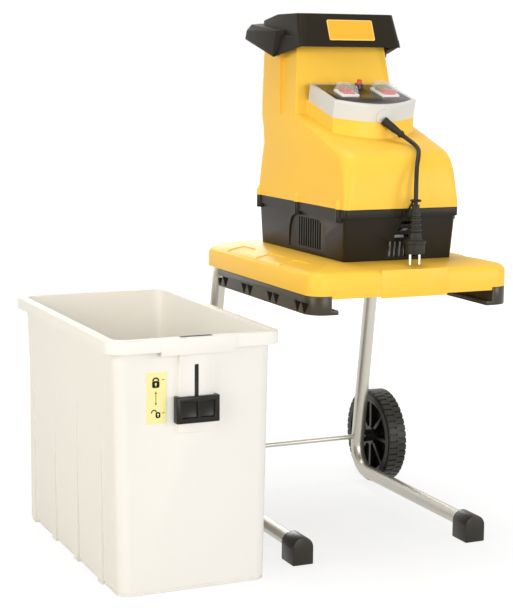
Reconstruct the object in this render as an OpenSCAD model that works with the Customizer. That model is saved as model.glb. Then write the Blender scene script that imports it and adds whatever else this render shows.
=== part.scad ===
// Garden shredder on a tubular stand, with its collection box taken out and set down beside it.
// Millimetres. X runs to the machine's right, Y to its back, Z up from the floor.
// The machine is drawn about its own centre plane, with Y = 0 at the front of the feet, and every
// piece is then shifted so that the origin lies under the middle of the machine and the box.

/* [Stand] */
// Outside diameter of the leg tube
tube_d = 28; // [24:1:32]
// Wall of the leg tube
tube_wall = 2; // [1.5:0.5:3]
// Distance between the two foot tubes, centre to centre
foot_spacing = 363; // [350:1:380]
// Distance between the two tube runs under the platform, centre to centre
run_spacing = 348; // [338:1:350]
// Backward lean of the legs in degrees
leg_lean = 9.9; // [6:0.1:14]
// Bend radius on the centreline of the tube
bend_r = 50; // [42:1:58]
// Height of the foot tube's centreline above the floor
foot_tube_z = 32; // [26:1:36]
// Distance from the front of the feet to the top corner of the legs
leg_top_y = 409; // [395:1:415]
// Where the tube runs start under the platform
run_start_y = 150; // [130:1:170]
// Width of a foot
foot_w = 41; // [38:1:50]
// Length of a foot
foot_l = 51; // [40:1:70]
// Height of a foot
foot_h = 52; // [50:1:58]

/* [Wheels] */
// Outside diameter of the tyre
wheel_d = 200; // [180:1:220]
// Width of the tyre
wheel_w = 42; // [34:1:46]
// Thickness of the tyre
tyre_t = 20; // [16:1:26]
// Depth of the tread grooves
tread_h = 3; // [2:0.5:6]
// Number of tread blocks in each of the two rows
tread_blocks = 44; // [24:1:48]
// Diameter of the wheel axle
axle_d = 10; // [8:1:12]
// Gap between the leg tube and the wheel's hub
wheel_gap = 1; // [0.5:0.5:4]
// Length of the hub boss between the leg and the tyre's inner face
hub_boss = 9; // [6:1:12]
// Number of spokes in a wheel
spokes = 8; // [5:1:12]

/* [Platform] */
// Width of the platform
platform_w = 404; // [400:1:412]
// How far the platform reaches in front of the feet
platform_front = 64; // [56:1:80]
// Depth of the platform from front to back
platform_l = 510; // [495:1:520]
// Height of the platform's top above the floor
platform_top = 550; // [545:1:580]
// Height of the platform's skirt and crown together
platform_h = 50; // [48:1:56]
// Wall of the platform
platform_wall = 3; // [2.5:0.5:4]
// Radius of the platform's front corners
platform_r = 32; // [24:1:40]
// Size of the cut across the platform's back corners
platform_cut = 40; // [24:1:50]
// Height of each rail below the platform
rail_h = 33; // [28:1:40]
// Clear width between the two rails
rail_gap = 326; // [324:1:330]
// Length of the rails
rail_l = 421; // [380:1:425]
// Width of the ledge that carries the box's rim
ledge_w = 13; // [10:1:14]
// Thickness of that ledge
ledge_t = 8; // [5:1:9]

/* [Housing] */
// Height of the black lower housing
lower_h = 94; // [88:1:100]
// Half width of the housing at the joint between its two halves
joint_hw = 117; // [114:1:124]
// Front of the housing at the joint, measured forward of the feet
joint_front = 16; // [14:1:22]
// Back of the housing at the joint
joint_back = 364; // [358:1:372]
// Wall of the housing
housing_wall = 3; // [2.5:0.5:4]
// Height of the hopper column above the joint
column_h = 289; // [280:1:300]
// Narrowing of each side wall per millimetre of height
side_draft = 0.05; // [0.04:0.002:0.06]
// Front face of the hopper column at its top
column_front = 238; // [232:1:244]

/* [Hopper cap] */
// Height of the cap's front face
cap_h = 62; // [56:1:70]
// Half width of the cap at its lower edge
cap_hw = 106; // [104:1:112]
// How far the cap stands out in front of the hopper column
cap_out = 53; // [45:1:60]
// Wall of the cap
cap_wall = 3; // [2.5:0.5:4]
// Width of the blank badge
badge_w = 95; // [70:1:110]
// Height of the blank badge along the sloping face
badge_h = 41; // [30:1:46]

/* [Controls] */
// Slope of the control panel in degrees
panel_tilt = 14.5; // [10:0.5:16]
// Half width of the control panel at its front corners
panel_hw = 85; // [80:1:88]
// Half width of the control panel at its back
panel_back_hw = 82; // [74:1:86]
// Length of the control panel along its slope
panel_l = 125; // [115:1:128]
// Height of the grey bezel
bezel_t = 32; // [28:1:34]
// Length of the direction switch's frame
direction_l = 40; // [36:1:44]
// Length of the power switch's frame
power_l = 54; // [48:1:58]
// Width of a switch frame
switch_w = 34; // [30:1:36]
// Travel of the push buttons
button_travel = 4; // [2:0.5:5]

/* [Drive] */
// Offset of the motor and roller axis to the left of the machine's centre
drive_off = 12; // [8:1:16]
// Height of that axis above the platform
drive_h = 95; // [92:1:100]
// Outside diameter of the motor's stator
stator_d = 116; // [108:1:120]
// Length of the stator
stator_l = 68; // [60:1:70]
// Diameter of the motor's rotor
rotor_d = 63; // [54:1:68]
// Teeth on the motor pinion
pinion1_teeth = 10; // [10:1:12]
// Teeth on the intermediate gear
gear1_teeth = 65; // [60:1:66]
// Module of the first gear pair
module1 = 1.5; // [1.4:0.05:1.5]
// Teeth on the intermediate pinion
pinion2_teeth = 9; // [9:1:10]
// Teeth on the output gear
gear2_teeth = 36; // [34:1:38]
// Diameter of the crushing roller over its teeth
roller_d = 92; // [84:1:94]
// Length of the crushing roller
roller_l = 110; // [96:1:112]
// Teeth round the crushing roller
roller_teeth = 8; // [6:1:10]
// Gap between the roller and the pressure plate when it is wound back
plate_gap = 6; // [5.5:0.5:8]
// Diameter of the adjusting screw
screw_d = 10; // [8:1:12]
// Diameter of the adjusting knob
knob_d = 44; // [36:1:50]

/* [Cord] */
// Diameter of the power cord
cord_d = 8; // [6:0.5:9]
// Diameter of the plug's body
plug_d = 38; // [35:1:39]
// Diameter of the plug's pins
pin_d = 4.8; // [4:0.1:4.8]
// Length of the plug's pins
pin_l = 19; // [18:0.5:19]
// Distance between the plug's pins
pin_spacing = 19; // [18:0.5:19]

/* [Collection box] */
// Height of the box
box_h = 444; // [400:1:450]
// Width of the box over its rim
box_rim_w = 318; // [312:1:321]
// Depth of the box over its rim
box_rim_l = 575; // [530:1:580]
// How far the rim stands out from the box's walls
rim_out = 15; // [13:1:17]
// Height of the rim
rim_h = 22; // [18:1:23]
// Wall of the box
box_wall = 3; // [2.5:0.5:4]
// Inward slope of each side wall from rim to floor
box_draft = 8; // [4:1:14]
// Inward slope of the back wall from rim to floor, which clears the axle
box_back_draft = 30; // [20:1:36]
// Gap between the axle cap and the line of the box's wall at its rim
box_off = 13.6; // [4:0.2:40]
// Front of the box's rim, measured forward of the feet
box_front = 57; // [30:1:64]
// Width of the lock slider
lock_w = 78; // [66:1:90]
// Height of the lock slider
lock_h = 46; // [44:1:60]
// Travel of the lock slider
lock_travel = 60; // [40:1:60]

/* [Hidden] */
$fn = 64;

// Fits
run_clear = 0.05;   // radial clearance of a shaft in its bearing or bore
seat_clear = 0.2;   // clearance round a piece that is fixed in place
over = 1;           // how far a cut runs past the face it opens

yellow = [0.98, 0.72, 0.2];
black = [0.19, 0.17, 0.15];
steel = [0.72, 0.71, 0.68];
bezel_grey = [0.88, 0.88, 0.86];
cream = [0.95, 0.93, 0.86];
red = [0.85, 0.25, 0.2];

// Stand: places worked out from the sizes above
run_x = run_spacing / 2;
foot_x = foot_spacing / 2;
skirt_z = platform_top - platform_h;
run_z = skirt_z + tube_d / 2 + 1;
leg_low_y = leg_top_y + (run_z - foot_tube_z) * tan(leg_lean);
foot_tube_end = 8;
leg_path = [
    [run_x, run_start_y, run_z],
    [run_x, leg_top_y, run_z],
    [foot_x, leg_low_y, foot_tube_z],
    [foot_x, foot_tube_end, foot_tube_z]
];
axle_z = wheel_d / 2;
axle_share = (run_z - axle_z) / (run_z - foot_tube_z);
axle_y = leg_top_y + (leg_low_y - leg_top_y) * axle_share;
leg_x = run_x + (foot_x - run_x) * axle_share;
wheel_in = leg_x + tube_d / 2 + wheel_gap + hub_boss;
wheel_out = wheel_in + wheel_w;
axle_cap_t = 6;
axle_cap_d = 34;
axle_end = wheel_out + axle_cap_t - 2;
hub_d = wheel_d - 2 * tyre_t;

// Platform
platform_y0 = -platform_front;
platform_y1 = platform_y0 + platform_l;
platform_hw = platform_w / 2;
// Crown of the platform: depth below its top, and distance in from its outline
crown = [[22, 0], [16, 2], [12, 6], [9, 13], [4, 40], [0, 60]];
saddle_l = 28;
leg_bolt_d = 8;
leg_bolt_head = 5;
leg_bolt_ys = [run_start_y + 35, leg_top_y - bend_r - 26];
rail_x0 = rail_gap / 2;
rail_z0 = skirt_z - rail_h;
rail_y1 = platform_y0 + rail_l;
rail_screw_d = 5;
rail_screw_head_d = 9;
rail_screw_head = 3;
rail_screw_x = rail_x0 + rail_screw_head_d / 2 + 2;
rail_screw_ys = [platform_y0 + 70, run_start_y - 25];
rail_boss_d = 15;
grip_w = 36;
grip_l = 62;
grip_deep = 1.5;
grip_x = platform_hw - 24;
grip_ys = [platform_y0 + 122, platform_y0 + 229, platform_y0 + 359];

// Housing
joint_z = platform_top + lower_h;
joint_y0 = -joint_front;
floor_t = 4;
floor_z = platform_top + floor_t;
band_h = 16;
boss_r = 8;
boss_ys = [joint_y0 + 25, (joint_y0 + joint_back) / 2 + 5, joint_back - 14];
boss_x = joint_hw - 3;
boss_low = 24;
boss_high = 18;
housing_screw_d = 4;
housing_screw_head_d = 7;
joint_r = 10;
// Side profile of the upper housing: height above the joint, front, corner radius
profile = [
    [0, joint_y0, joint_r], [11, joint_y0 - 2, joint_r + 2], [68, joint_y0 + 3, 22], [86, joint_y0 + 10, 27],
    [98, joint_y0 + 22, 30], [104, joint_y0 + 38, 30], [131, joint_y0 + 120, 24],
    [156, column_front - 43, 14], [162, column_front - 26, 12], [column_h, column_front, 12]
];
column_back = joint_back + 10;
column_z = joint_z + column_h;
column_hw = joint_hw - side_draft * column_h;
// The front of the column is narrower than its back, by a step on each side that fades out downwards
neck_in = 10;
neck_hw = column_hw - neck_in;
neck_draft = 0.102;
neck_low = 162;
neck_y = column_front + 55;
neck_lean = 0.126;

// Hopper cap
cap_z0 = column_z - 3;
cap_z1 = cap_z0 + cap_h;
cap_y0 = column_front - cap_out;
cap_lean = 27;
cap_y1 = column_back + 18;
cap_top_in = 5;
cap_fall_y = cap_y0 + 125;
cap_fall = 10;
collar_wall = 3;
collar_gap = 2;
collar_hw = neck_hw - housing_wall - collar_gap;
collar_y0 = column_front + housing_wall + collar_gap;
collar_y1 = column_back - housing_wall - collar_gap;
collar_z0 = column_z - 20;
cap_slope = atan2(cap_h, cap_lean);

// Controls
panel_y = column_front - 156;
panel_z = column_z - 102.5;
panel_corner_v = 12;
panel_mid_v = -20;
panel_dir_x = -40;
panel_dir_v = 34;
panel_pow_x = 42;
panel_pow_v = 31;
reset_x = 7.5;
reset_v = 98;
plate_in = 7;
plate_t = 2;
frame_h = 4;
frame_wall = 3;
cover_h = 15;
cover_wall = 1;
reset_d = 9;
reset_collar_d = 17;
reset_collar_h = 7;
reset_out = 8;
rocker_r = 24;
button_h = 9;
switch_deep = 22;

// Drive: motor, gears and roller lie one behind the other along Y
drive_x = -drive_off;
drive_z = platform_top + drive_h;
module2 = module1 * (pinion1_teeth + gear1_teeth) / (pinion2_teeth + gear2_teeth);
gear_gap = module1 * (pinion1_teeth + gear1_teeth) / 2;
counter_z = drive_z + gear_gap;
backlash = 0.3;
shield_y0 = 14;
shield_t = 10;
winding_l = 9;
stator_y0 = shield_y0 + shield_t + winding_l + 3;
stator_y1 = stator_y0 + stator_l;
cover_y0 = stator_y1 + winding_l + 3;
cover_t = 10;
gear_y0 = cover_y0 + cover_t;
gear_wall = 5;
stage1_y = gear_y0 + 14;
stage1_l = 14;
stage2_y = stage1_y + stage1_l + 6;
stage2_l = 23;
crusher_y0 = stage2_y + stage2_l + 9;
crusher_wall = 14;
roller_y0 = crusher_y0 + crusher_wall + 3;
crusher_y1 = roller_y0 + roller_l + 3 + crusher_wall;
crusher_top = drive_z + roller_d / 2 + 21;
chamber_x0 = drive_x - roller_d / 2 - 4;
chamber_x1 = drive_x + roller_d / 2 + 26;
chamber_y0 = crusher_y0 + crusher_wall;
chamber_y1 = crusher_y1 - crusher_wall;
crusher_side = 10;
motor_shaft_d = 12;
pinion_hex = 8;
counter_hex = 12;
counter_d = 10;
roller_hex = 20;
hex_clear = 0.05;
roller_shaft_d = 20;
motor_bearing_d = 32;
roller_bearing_d = 42;
roller_bearing_w = 12;
gear_room = 4;
gear_r1 = module1 * gear1_teeth / 2 + module1;
base_bolt_d = 6;
base_bolt_head = 4;
base_bolt_l = 26;
base_bolts_at = [
    [drive_x - 20, shield_y0 + shield_t / 2], [drive_x + 20, shield_y0 + shield_t / 2],
    [drive_x - 22, gear_y0 + 32], [drive_x + 22, gear_y0 + 32]
];
plate_x0 = drive_x + roller_d / 2 + plate_gap;
press_plate_t = 12;
screw_z = joint_z + 21;
screw_y = (roller_y0 * 2 + roller_l) / 2;
screw_x0 = plate_x0 + 1;
knob_x = joint_hw - side_draft * (screw_z - joint_z - knob_d / 2) + 2;
knob_l = 21;
cap_d = 34;
cap_l = 70;
cap_x = joint_hw - 34;
cap_y = 25;
cap_z = floor_z + cap_d / 2 + 3;
chute_wall = 2.5;

// Interlock under the front of the platform
interlock_y = platform_y0 + 22.5;
interlock_w = 42;
interlock_l = 20;
interlock_h = 23;
interlock_z0 = skirt_z + 12;
plunger_d = 7;
plunger_out = 7;
plunger_travel = 4;

// Cord, drawn from the strain relief to the plug
sleeve_from = [2, 66, joint_z + 153.4];
sleeve_d = 16;
sleeve_end_d = 11;
gland_d = 28;
gland_out = 4;
gland_w = -22;
sleeve_to = [32.4, 46, joint_z + 125.8];
plug_at = [11, -42];
plug_face_z = platform_top + 15;
plug_top_z = plug_face_z + 88;
cord_route = [
    sleeve_to, [38.9, 37, joint_z + 118.9], [42.5, 21.6, joint_z + 111.2], [39.1, 2.1, joint_z + 103.4],
    [31.2, -12.2, joint_z + 92.1], [22.9, -23.1, joint_z + 78], [16.5, -32.7, joint_z + 59.9],
    [12.5, -39.3, joint_z + 40.3], [plug_at.x, plug_at.y, plug_top_z + 10],
    [plug_at.x, plug_at.y, plug_top_z]
];
cord_sides = 10;
hook_z = plug_top_z + 7;
hook_r = 8;
hook_d = 4;

// Collection box
box_hw = box_rim_w / 2;
wall_hw = box_hw - rim_out;
box_x = -(wheel_out + axle_cap_t + box_off + wall_hw);
box_y0 = -box_front;
box_y1 = box_y0 + box_rim_l;
wall_y0 = box_y0 + rim_out;
wall_y1 = box_y1 - rim_out;
box_r = 22;
rib_w = 26;
rib_top = 0.7 * box_h;
rib_ys = [for (i = [0:3]) wall_y0 + 94 + i * 137];
lip_w = 132;
lip_h = 29;
lip_out = 3;
rim_t = 3;
guide_w = 62;
guide_out = 8;
guide_z0 = box_h - 165;
tongue_w = 50;
tongue_t = 3;
tongue_clear = 0.5;
slit_w = 8;
lock_out = 17;
lock_z0 = box_h - 147;
label_w = 36;
label_h = 88;
label_t = 0.6;
label_x = box_x - 88;
label_z0 = box_h - 146;

// Origin: under the middle of the box that holds the machine and the collection box
row_x = -(box_x - box_hw + wheel_out + axle_cap_t) / 2;
row_y = -(platform_y0 + axle_y + wheel_d / 2) / 2;

// Points on an arc about c
function arc(c, r, from, to, steps) =
    [for (i = [0:steps]) c + r * [cos(from + (to - from) * i / steps),
        sin(from + (to - from) * i / steps)]];
function at_height(points, z) = [for (p = points) [p.x, p.y, z]];
// Rounded rectangle from x0 to x1 and y0 to y1, run counter-clockwise
function rounded(x0, x1, y0, y1, r, steps = 6) = concat(
    arc([x0 + r, y0 + r], r, 180, 270, steps), arc([x1 - r, y0 + r], r, 270, 360, steps),
    arc([x1 - r, y1 - r], r, 0, 90, steps), arc([x0 + r, y1 - r], r, 90, 180, steps));
function unit(v) = v / norm(v);
function turn(a, b, c) = acos(unit(b - a) * unit(c - b));

// Solid through a stack of rings with equal numbers of points
module loft(rings) {
    n = len(rings[0]);
    top = len(rings) - 1;
    sides = [
        for (i = [0:top - 1], j = [0:n - 1], half = [0, 1])
            let (a = i * n + j, b = i * n + (j + 1) % n)
                half == 0 ? [a, a + n, b + n] : [a, b + n, b]
    ];
    low_cap = [[for (j = [0:n - 1]) j]];
    high_cap = [[for (j = [n - 1:-1:0]) top * n + j]];
    polyhedron(points = [for (ring = rings, p = ring) p], faces = concat(sides, low_cap, high_cap));
}

// Moves a shape on the Z axis to the line from a to b
module along(a, b) {
    w = unit(b - a);
    u = unit(cross(abs(w.x) < 0.9 ? [1, 0, 0] : [0, 1, 0], w));
    v = cross(w, u);
    multmatrix([[u.x, v.x, w.x, a.x], [u.y, v.y, w.y, a.y], [u.z, v.z, w.z, a.z], [0, 0, 0, 1]]) children();
}

// Round bar with one bend at each inner point of its path, and a slight swell where a bend begins
module bent_bar(path, r, d, longer = 0) {
    last = len(path) - 1;
    cuts = [for (i = [0:last]) i == 0 || i == last ? -longer
        : r * tan(turn(path[i - 1], path[i], path[i + 1]) / 2)];
    for (i = [0:last - 1]) {
        way = unit(path[i + 1] - path[i]);
        start = path[i] + way * cuts[i];
        end = path[i + 1] - way * cuts[i + 1];
        along(start, end) cylinder(d = d, h = norm(end - start));
    }
    for (i = [1:last - 1]) {
        way = unit(path[i] - path[i - 1]);
        axis = unit(cross(way, path[i + 1] - path[i]));
        side = cross(axis, way);
        c = path[i] - way * cuts[i] + side * r;
        next = unit(path[i + 1] - path[i]);
        for (end = [[path[i] - way * cuts[i], way], [path[i] + next * cuts[i], next]])
            along(end[0] - end[1], end[0] + end[1]) cylinder(d = d + 0.2, h = 2);
        multmatrix([
            [-side.x, way.x, axis.x, c.x], [-side.y, way.y, axis.y, c.y],
            [-side.z, way.z, axis.z, c.z], [0, 0, 0, 1]
        ])
            rotate_extrude(angle = turn(path[i - 1], path[i], path[i + 1])) translate([r, 0]) circle(d = d);
    }
}

// Extrudes a shape drawn in X and Z along Y
module along_y(y0, y1) {
    translate([0, y1, 0]) rotate([90, 0, 0]) linear_extrude(y1 - y0) children();
}
module along_x(x0, x1) {
    translate([x0, 0, 0]) rotate([90, 0, 90]) linear_extrude(x1 - x0) children();
}
module rod_y(x, z, d, y0, y1) {
    along_y(y0, y1) translate([x, z]) circle(d = d);
}
module rod_x(y, z, d, x0, x1) {
    along_x(x0, x1) translate([y, z]) circle(d = d);
}
module rod_z(x, y, d, z0, z1) {
    translate([x, y, z0]) cylinder(d = d, h = z1 - z0);
}
// Box between two corners
module block(low, high) {
    translate(low) cube(high - low);
}
module hex(flats) {
    circle(d = flats / cos(30), $fn = 6);
}
module both_sides() {
    children();
    mirror([1, 0, 0]) children();
}
// Frame of the sloping control panel: X across, Y up the slope, Z out of it
module on_panel() {
    translate([0, panel_y, panel_z]) rotate([panel_tilt, 0, 0]) children();
}

// Stand

module leg() {
    difference() {
        bent_bar(leg_path, bend_r, tube_d);
        bent_bar(leg_path, bend_r, tube_d - 2 * tube_wall, over);
        rod_x(axle_y, axle_z, axle_d + 2 * seat_clear, leg_x - tube_d, leg_x + tube_d);
        for (y = leg_bolt_ys)
            rod_z(run_x, y, leg_bolt_d + 2 * seat_clear, run_z - tube_d, run_z + tube_d);
    }
}
module right_leg() { color(steel) leg(); }
module left_leg() { color(steel) mirror([1, 0, 0]) leg(); }

// Plastic foot pushed over the front end of a leg tube, with an arched top
module foot() {
    difference() {
        along_y(0, foot_l) translate([foot_x, 0]) {
            translate([-foot_w / 2, 0]) square([foot_w, foot_h - foot_w / 2]);
            translate([0, foot_h - foot_w / 2]) circle(d = foot_w);
        }
        rod_y(foot_x, foot_tube_z, tube_d + 2 * seat_clear, foot_tube_end - seat_clear, foot_l + over);
    }
}
module right_foot() { color(black) foot(); }
module left_foot() { color(black) mirror([1, 0, 0]) foot(); }

module wheel_axle() { color(steel) rod_x(axle_y, axle_z, axle_d, -axle_end, axle_end); }

// Push-on caps that keep the wheels on the axle
module axle_caps() {
    color(black) both_sides() difference() {
        rod_x(axle_y, axle_z, axle_cap_d, wheel_out + 2 * seat_clear, wheel_out + axle_cap_t);
        rod_x(axle_y, axle_z, axle_d + 2 * seat_clear, wheel_out, axle_end + seat_clear);
    }
}

// Outline of one row of tread blocks
module tread_row(shift) {
    pitch = 360 / tread_blocks;
    low = wheel_d / 2 - tread_h - 1;
    high = wheel_d / 2 - 0.3;
    polygon([
        for (i = [0:tread_blocks - 1], corner = [[-0.42, low], [-0.37, high], [0.37, high], [0.42, low]])
            let (a = (i + shift + corner[0]) * pitch) corner[1] * [cos(a), sin(a)]
    ]);
}
// Rubber tyre with two staggered rows of tread blocks either side of a centre rib
module tyre() {
    side = 5;
    rib = 4;
    middle = (wheel_in + wheel_out) / 2;
    difference() {
        union() {
            rod_x(axle_y, axle_z, wheel_d - 2 * tread_h - 2 * side, wheel_in, wheel_out);
            rod_x(axle_y, axle_z, wheel_d - 2 * tread_h, wheel_in + side, wheel_out - side);
            rod_x(axle_y, axle_z, wheel_d, middle - rib / 2, middle + rib / 2);
            along_x(wheel_in + 2, middle) translate([axle_y, axle_z]) tread_row(0);
            along_x(middle, wheel_out - 2) translate([axle_y, axle_z]) tread_row(0.5);
        }
        rod_x(axle_y, axle_z, hub_d + 2 * seat_clear, wheel_in - over, wheel_out + over);
    }
}
module right_tyre() { color([0.12, 0.12, 0.12]) tyre(); }
module left_tyre() { color([0.12, 0.12, 0.12]) mirror([1, 0, 0]) tyre(); }

// Plastic hub: rim, web, spokes and a boss that runs on the axle
module wheel_hub() {
    rim = 6;
    rim_in = 4;
    web = 4;
    spoke = 7;
    middle = (wheel_in + wheel_out) / 2;
    difference() {
        union() {
            difference() {
                rod_x(axle_y, axle_z, hub_d, wheel_in + rim_in, wheel_out - rim_in);
                rod_x(axle_y, axle_z, hub_d - 2 * rim, wheel_in, wheel_out);
            }
            rod_x(axle_y, axle_z, hub_d - rim, middle - web / 2, middle + web / 2);
            rod_x(axle_y, axle_z, axle_cap_d + 6, wheel_in + rim_in, wheel_out);
            rod_x(axle_y, axle_z, axle_cap_d - 8, wheel_in - hub_boss, wheel_in + rim_in);
            for (i = [0:spokes - 1])
                translate([0, axle_y, axle_z]) rotate([i * 360 / spokes, 0, 0])
                    block([wheel_in + rim_in + 2, axle_cap_d / 2, -spoke / 2],
                        [wheel_out - rim_in - 2, hub_d / 2 - rim / 2, spoke / 2]);
        }
        rod_x(axle_y, axle_z, axle_d + 2 * run_clear, wheel_in - hub_boss - over, wheel_out + over);
    }
}
module right_wheel_hub() { color(black) wheel_hub(); }
module left_wheel_hub() { color(black) mirror([1, 0, 0]) wheel_hub(); }

// Platform

// Outline of the platform, set in by a distance, with two cut corners at the back
function platform_outline(in) =
    let (r = max(platform_r - in, 3), hw = platform_hw - in, y0 = platform_y0 + in,
        skew = in * (sqrt(2) - 1))
    concat(
        arc([-hw + r, y0 + r], r, 180, 270, 6), arc([hw - r, y0 + r], r, 270, 360, 6),
        [
            [hw, platform_y1 - platform_cut - skew], [platform_hw - platform_cut - skew, platform_y1 - in],
            [-platform_hw + platform_cut + skew, platform_y1 - in], [-hw, platform_y1 - platform_cut - skew]
        ]);
module platform_solid() {
    loft(concat(
        [at_height(platform_outline(0), skirt_z)],
        [for (c = crown) at_height(platform_outline(c[1]), platform_top - c[0])]));
}
module platform_hollow() {
    loft(concat(
        [at_height(platform_outline(platform_wall), skirt_z - over)],
        [for (c = crown)
            at_height(platform_outline(c[1] + platform_wall), platform_top - c[0] - platform_wall)]));
}
// Opening through which the chips fall from the crusher into the box
module discharge(z0, z1) {
    block([chamber_x0, chamber_y0, z0], [chamber_x1, chamber_y1, z1]);
}
// Saddles over the leg tubes, bosses for the rail screws and cheeks for the interlock switch
module platform_ribs() {
    cheek = 4;
    both_sides() {
        for (y = leg_bolt_ys)
            block([run_x - tube_d / 2 - cheek, y - saddle_l / 2, run_z],
                [run_x + tube_d / 2, y + saddle_l / 2, platform_top]);
        for (y = rail_screw_ys) rod_z(rail_screw_x, y, rail_boss_d, skirt_z, platform_top);
        block([interlock_w / 2 + seat_clear, interlock_y - interlock_l / 2, interlock_z0],
            [interlock_w / 2 + cheek, interlock_y + interlock_l / 2, platform_top]);
    }
}
// Shallow grips that follow the crown along both edges of the platform
module edge_grips() {
    grip_r = 8;
    difference() {
        both_sides() for (y = grip_ys)
            translate([0, 0, platform_top - 20]) linear_extrude(20 + over)
                polygon(rounded(grip_x - grip_w / 2, grip_x + grip_w / 2, y - grip_l / 2, y + grip_l / 2,
                    grip_r));
        translate([0, 0, -grip_deep]) platform_solid();
    }
}
module platform() {
    apron_h = 5.5;
    step_w = 134;
    step_h = 3;
    color(yellow) difference() {
        union() {
            difference() {
                platform_solid();
                platform_hollow();
            }
            intersection() {
                platform_solid();
                platform_ribs();
            }
            block([-rail_x0 + over, platform_y0, skirt_z - apron_h],
                [rail_x0 - over, platform_y0 + platform_wall, skirt_z + 10]);
        }
        both_sides() {
            bent_bar(leg_path, bend_r, tube_d + 2 * seat_clear, seat_clear);
            for (y = leg_bolt_ys)
                rod_z(run_x, y, leg_bolt_d + 2 * seat_clear, run_z, run_z + tube_d / 2 + 9);
            for (y = rail_screw_ys)
                rod_z(rail_screw_x, y, rail_screw_d + 2 * seat_clear, skirt_z - over, skirt_z + 24);
        }
        for (b = base_bolts_at)
            rod_z(b.x, b.y, base_bolt_d + 2 * seat_clear, platform_top - 2 * platform_wall,
                platform_top + over);
        discharge(platform_top - 2 * platform_wall, platform_top + over);
        edge_grips();
        block([-step_w / 2, platform_y0 - over, skirt_z - apron_h - over],
            [step_w / 2, platform_y0 + 2 * platform_wall, skirt_z - apron_h + step_h]);
    }
}

// Rail under one edge of the platform: its ledge carries the rim of the box
module rail() {
    pockets = 4;
    pocket_from = 45;
    pocket_pitch = (rail_l - pocket_from - 24) / (pockets - 1);
    pocket_top = 13;
    pocket_h = 18;
    pocket_w = 26;
    pocket_tip = 5;
    pocket_deep = 12;
    head_room = 1.5;
    difference() {
        intersection() {
            union() {
                block([rail_x0, platform_y0, rail_z0], [platform_hw, rail_y1, skirt_z]);
                block([rail_x0 - ledge_w, platform_y0, rail_z0],
                    [rail_x0 + over, rail_y1, rail_z0 + ledge_t]);
            }
            translate([0, 0, rail_z0 - over]) linear_extrude(rail_h + 2 * over)
                polygon(platform_outline(0));
        }
        for (i = [0:pockets - 1], side = [-1, 1])
            translate([platform_hw - pocket_deep,
                platform_y0 + pocket_from + i * pocket_pitch + side * pocket_w * 0.53, skirt_z - pocket_top])
                rotate([90, 0, 90]) linear_extrude(pocket_deep + over)
                    polygon([[-pocket_w / 2, 0], [-pocket_tip / 2, -pocket_h], [pocket_tip / 2, -pocket_h],
                        [pocket_w / 2, 0]]);
        for (y = rail_screw_ys) {
            rod_z(rail_screw_x, y, rail_screw_d + 2 * seat_clear, rail_z0 - over, skirt_z + over);
            rod_z(rail_screw_x, y, rail_screw_head_d + 2 * seat_clear, rail_z0 - over,
                rail_z0 + rail_screw_head);
        }
        for (y = leg_bolt_ys)
            rod_z(run_x, y, leg_bolt_d * 1.6 + 2 * head_room, skirt_z - leg_bolt_head - head_room,
                skirt_z + over);
    }
}
module right_rail() { color(black) rail(); }
module left_rail() { color(black) mirror([1, 0, 0]) rail(); }

module rail_screws() {
    color(steel) both_sides() for (y = rail_screw_ys) {
        rod_z(rail_screw_x, y, rail_screw_d, rail_z0 + rail_screw_head - over, skirt_z + 22);
        rod_z(rail_screw_x, y, rail_screw_head_d, rail_z0, rail_z0 + rail_screw_head);
    }
}
module leg_bolts() {
    top = run_z - tube_d / 2 - seat_clear;
    color(steel) both_sides() for (y = leg_bolt_ys) {
        rod_z(run_x, y, leg_bolt_d, top - over, run_z + tube_d / 2 + 8);
        rod_z(run_x, y, leg_bolt_d * 1.6, top - leg_bolt_head, top);
    }
}

// Safety switch that the box's lock pushes when it is closed
module interlock_switch() {
    color([0.25, 0.25, 0.27]) difference() {
        block([-interlock_w / 2, interlock_y - interlock_l / 2, interlock_z0],
            [interlock_w / 2, interlock_y + interlock_l / 2, interlock_z0 + interlock_h]);
        rod_z(0, interlock_y, plunger_d + 2 * run_clear, interlock_z0 - over,
            interlock_z0 + plunger_travel + 8);
    }
}
module interlock_plunger() {
    color("ivory") rod_z(0, interlock_y, plunger_d, interlock_z0 - plunger_out, interlock_z0 + 7);
}

// Housing

function housing_ring(hw, y0, y1, r, z) = at_height(rounded(-hw, hw, y0, y1, r), z);

// Drafted tub of the lower housing, set in by a distance
module lower_tub(in, z0, z1) {
    loft([
        housing_ring(joint_hw - 7 - in, joint_y0 + 13 + in, joint_back - 9 - in, joint_r - 2 - in, z0),
        housing_ring(joint_hw - 3 - in, joint_y0 + 3 + in, joint_back - 3 - in, joint_r - 1 - in, z1)
    ]);
}
// Slots of the front grille: upright below, lying above, under a narrowing top
module front_grille() {
    grille_x = 11;
    slot = 5;
    pitch = 10;
    y0 = joint_y0 - over;
    y1 = joint_y0 + 24;
    for (i = [-3:3])
        block([grille_x + i * pitch - slot / 2, y0, floor_z + 2],
            [grille_x + i * pitch + slot / 2, y1, floor_z + 30]);
    for (i = [0:2])
        block([grille_x - 24 + i * 6, y0, floor_z + 37 + i * 12],
            [grille_x + 24 - i * 6, y1, floor_z + 37 + slot + i * 12]);
}
// Arch in a side wall that holds the louvre
module louvre_arch(x0, x1, in) {
    low = floor_z + 3;
    top = joint_z - 20;
    translate([x0, 0, 0]) rotate([90, 0, 90]) linear_extrude(x1 - x0)
        offset(delta = -in) polygon([
            [66, low], [72, low + 28], [80, low + 46], [90, top - 10], [104, top - 3], [150, top],
            [196, top - 3], [212, top - 13], [222, top - 30], [226, low]
        ]);
}
// Upright louvre slots in a side wall
module side_louvre() {
    slots = 10;
    slot = 5;
    pitch = 9.6;
    for (i = [0:slots - 1])
        block([joint_hw - 24, 94 + i * pitch, floor_z + 8],
            [joint_hw + 6, 94 + i * pitch + slot, joint_z - 28]);
}
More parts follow.
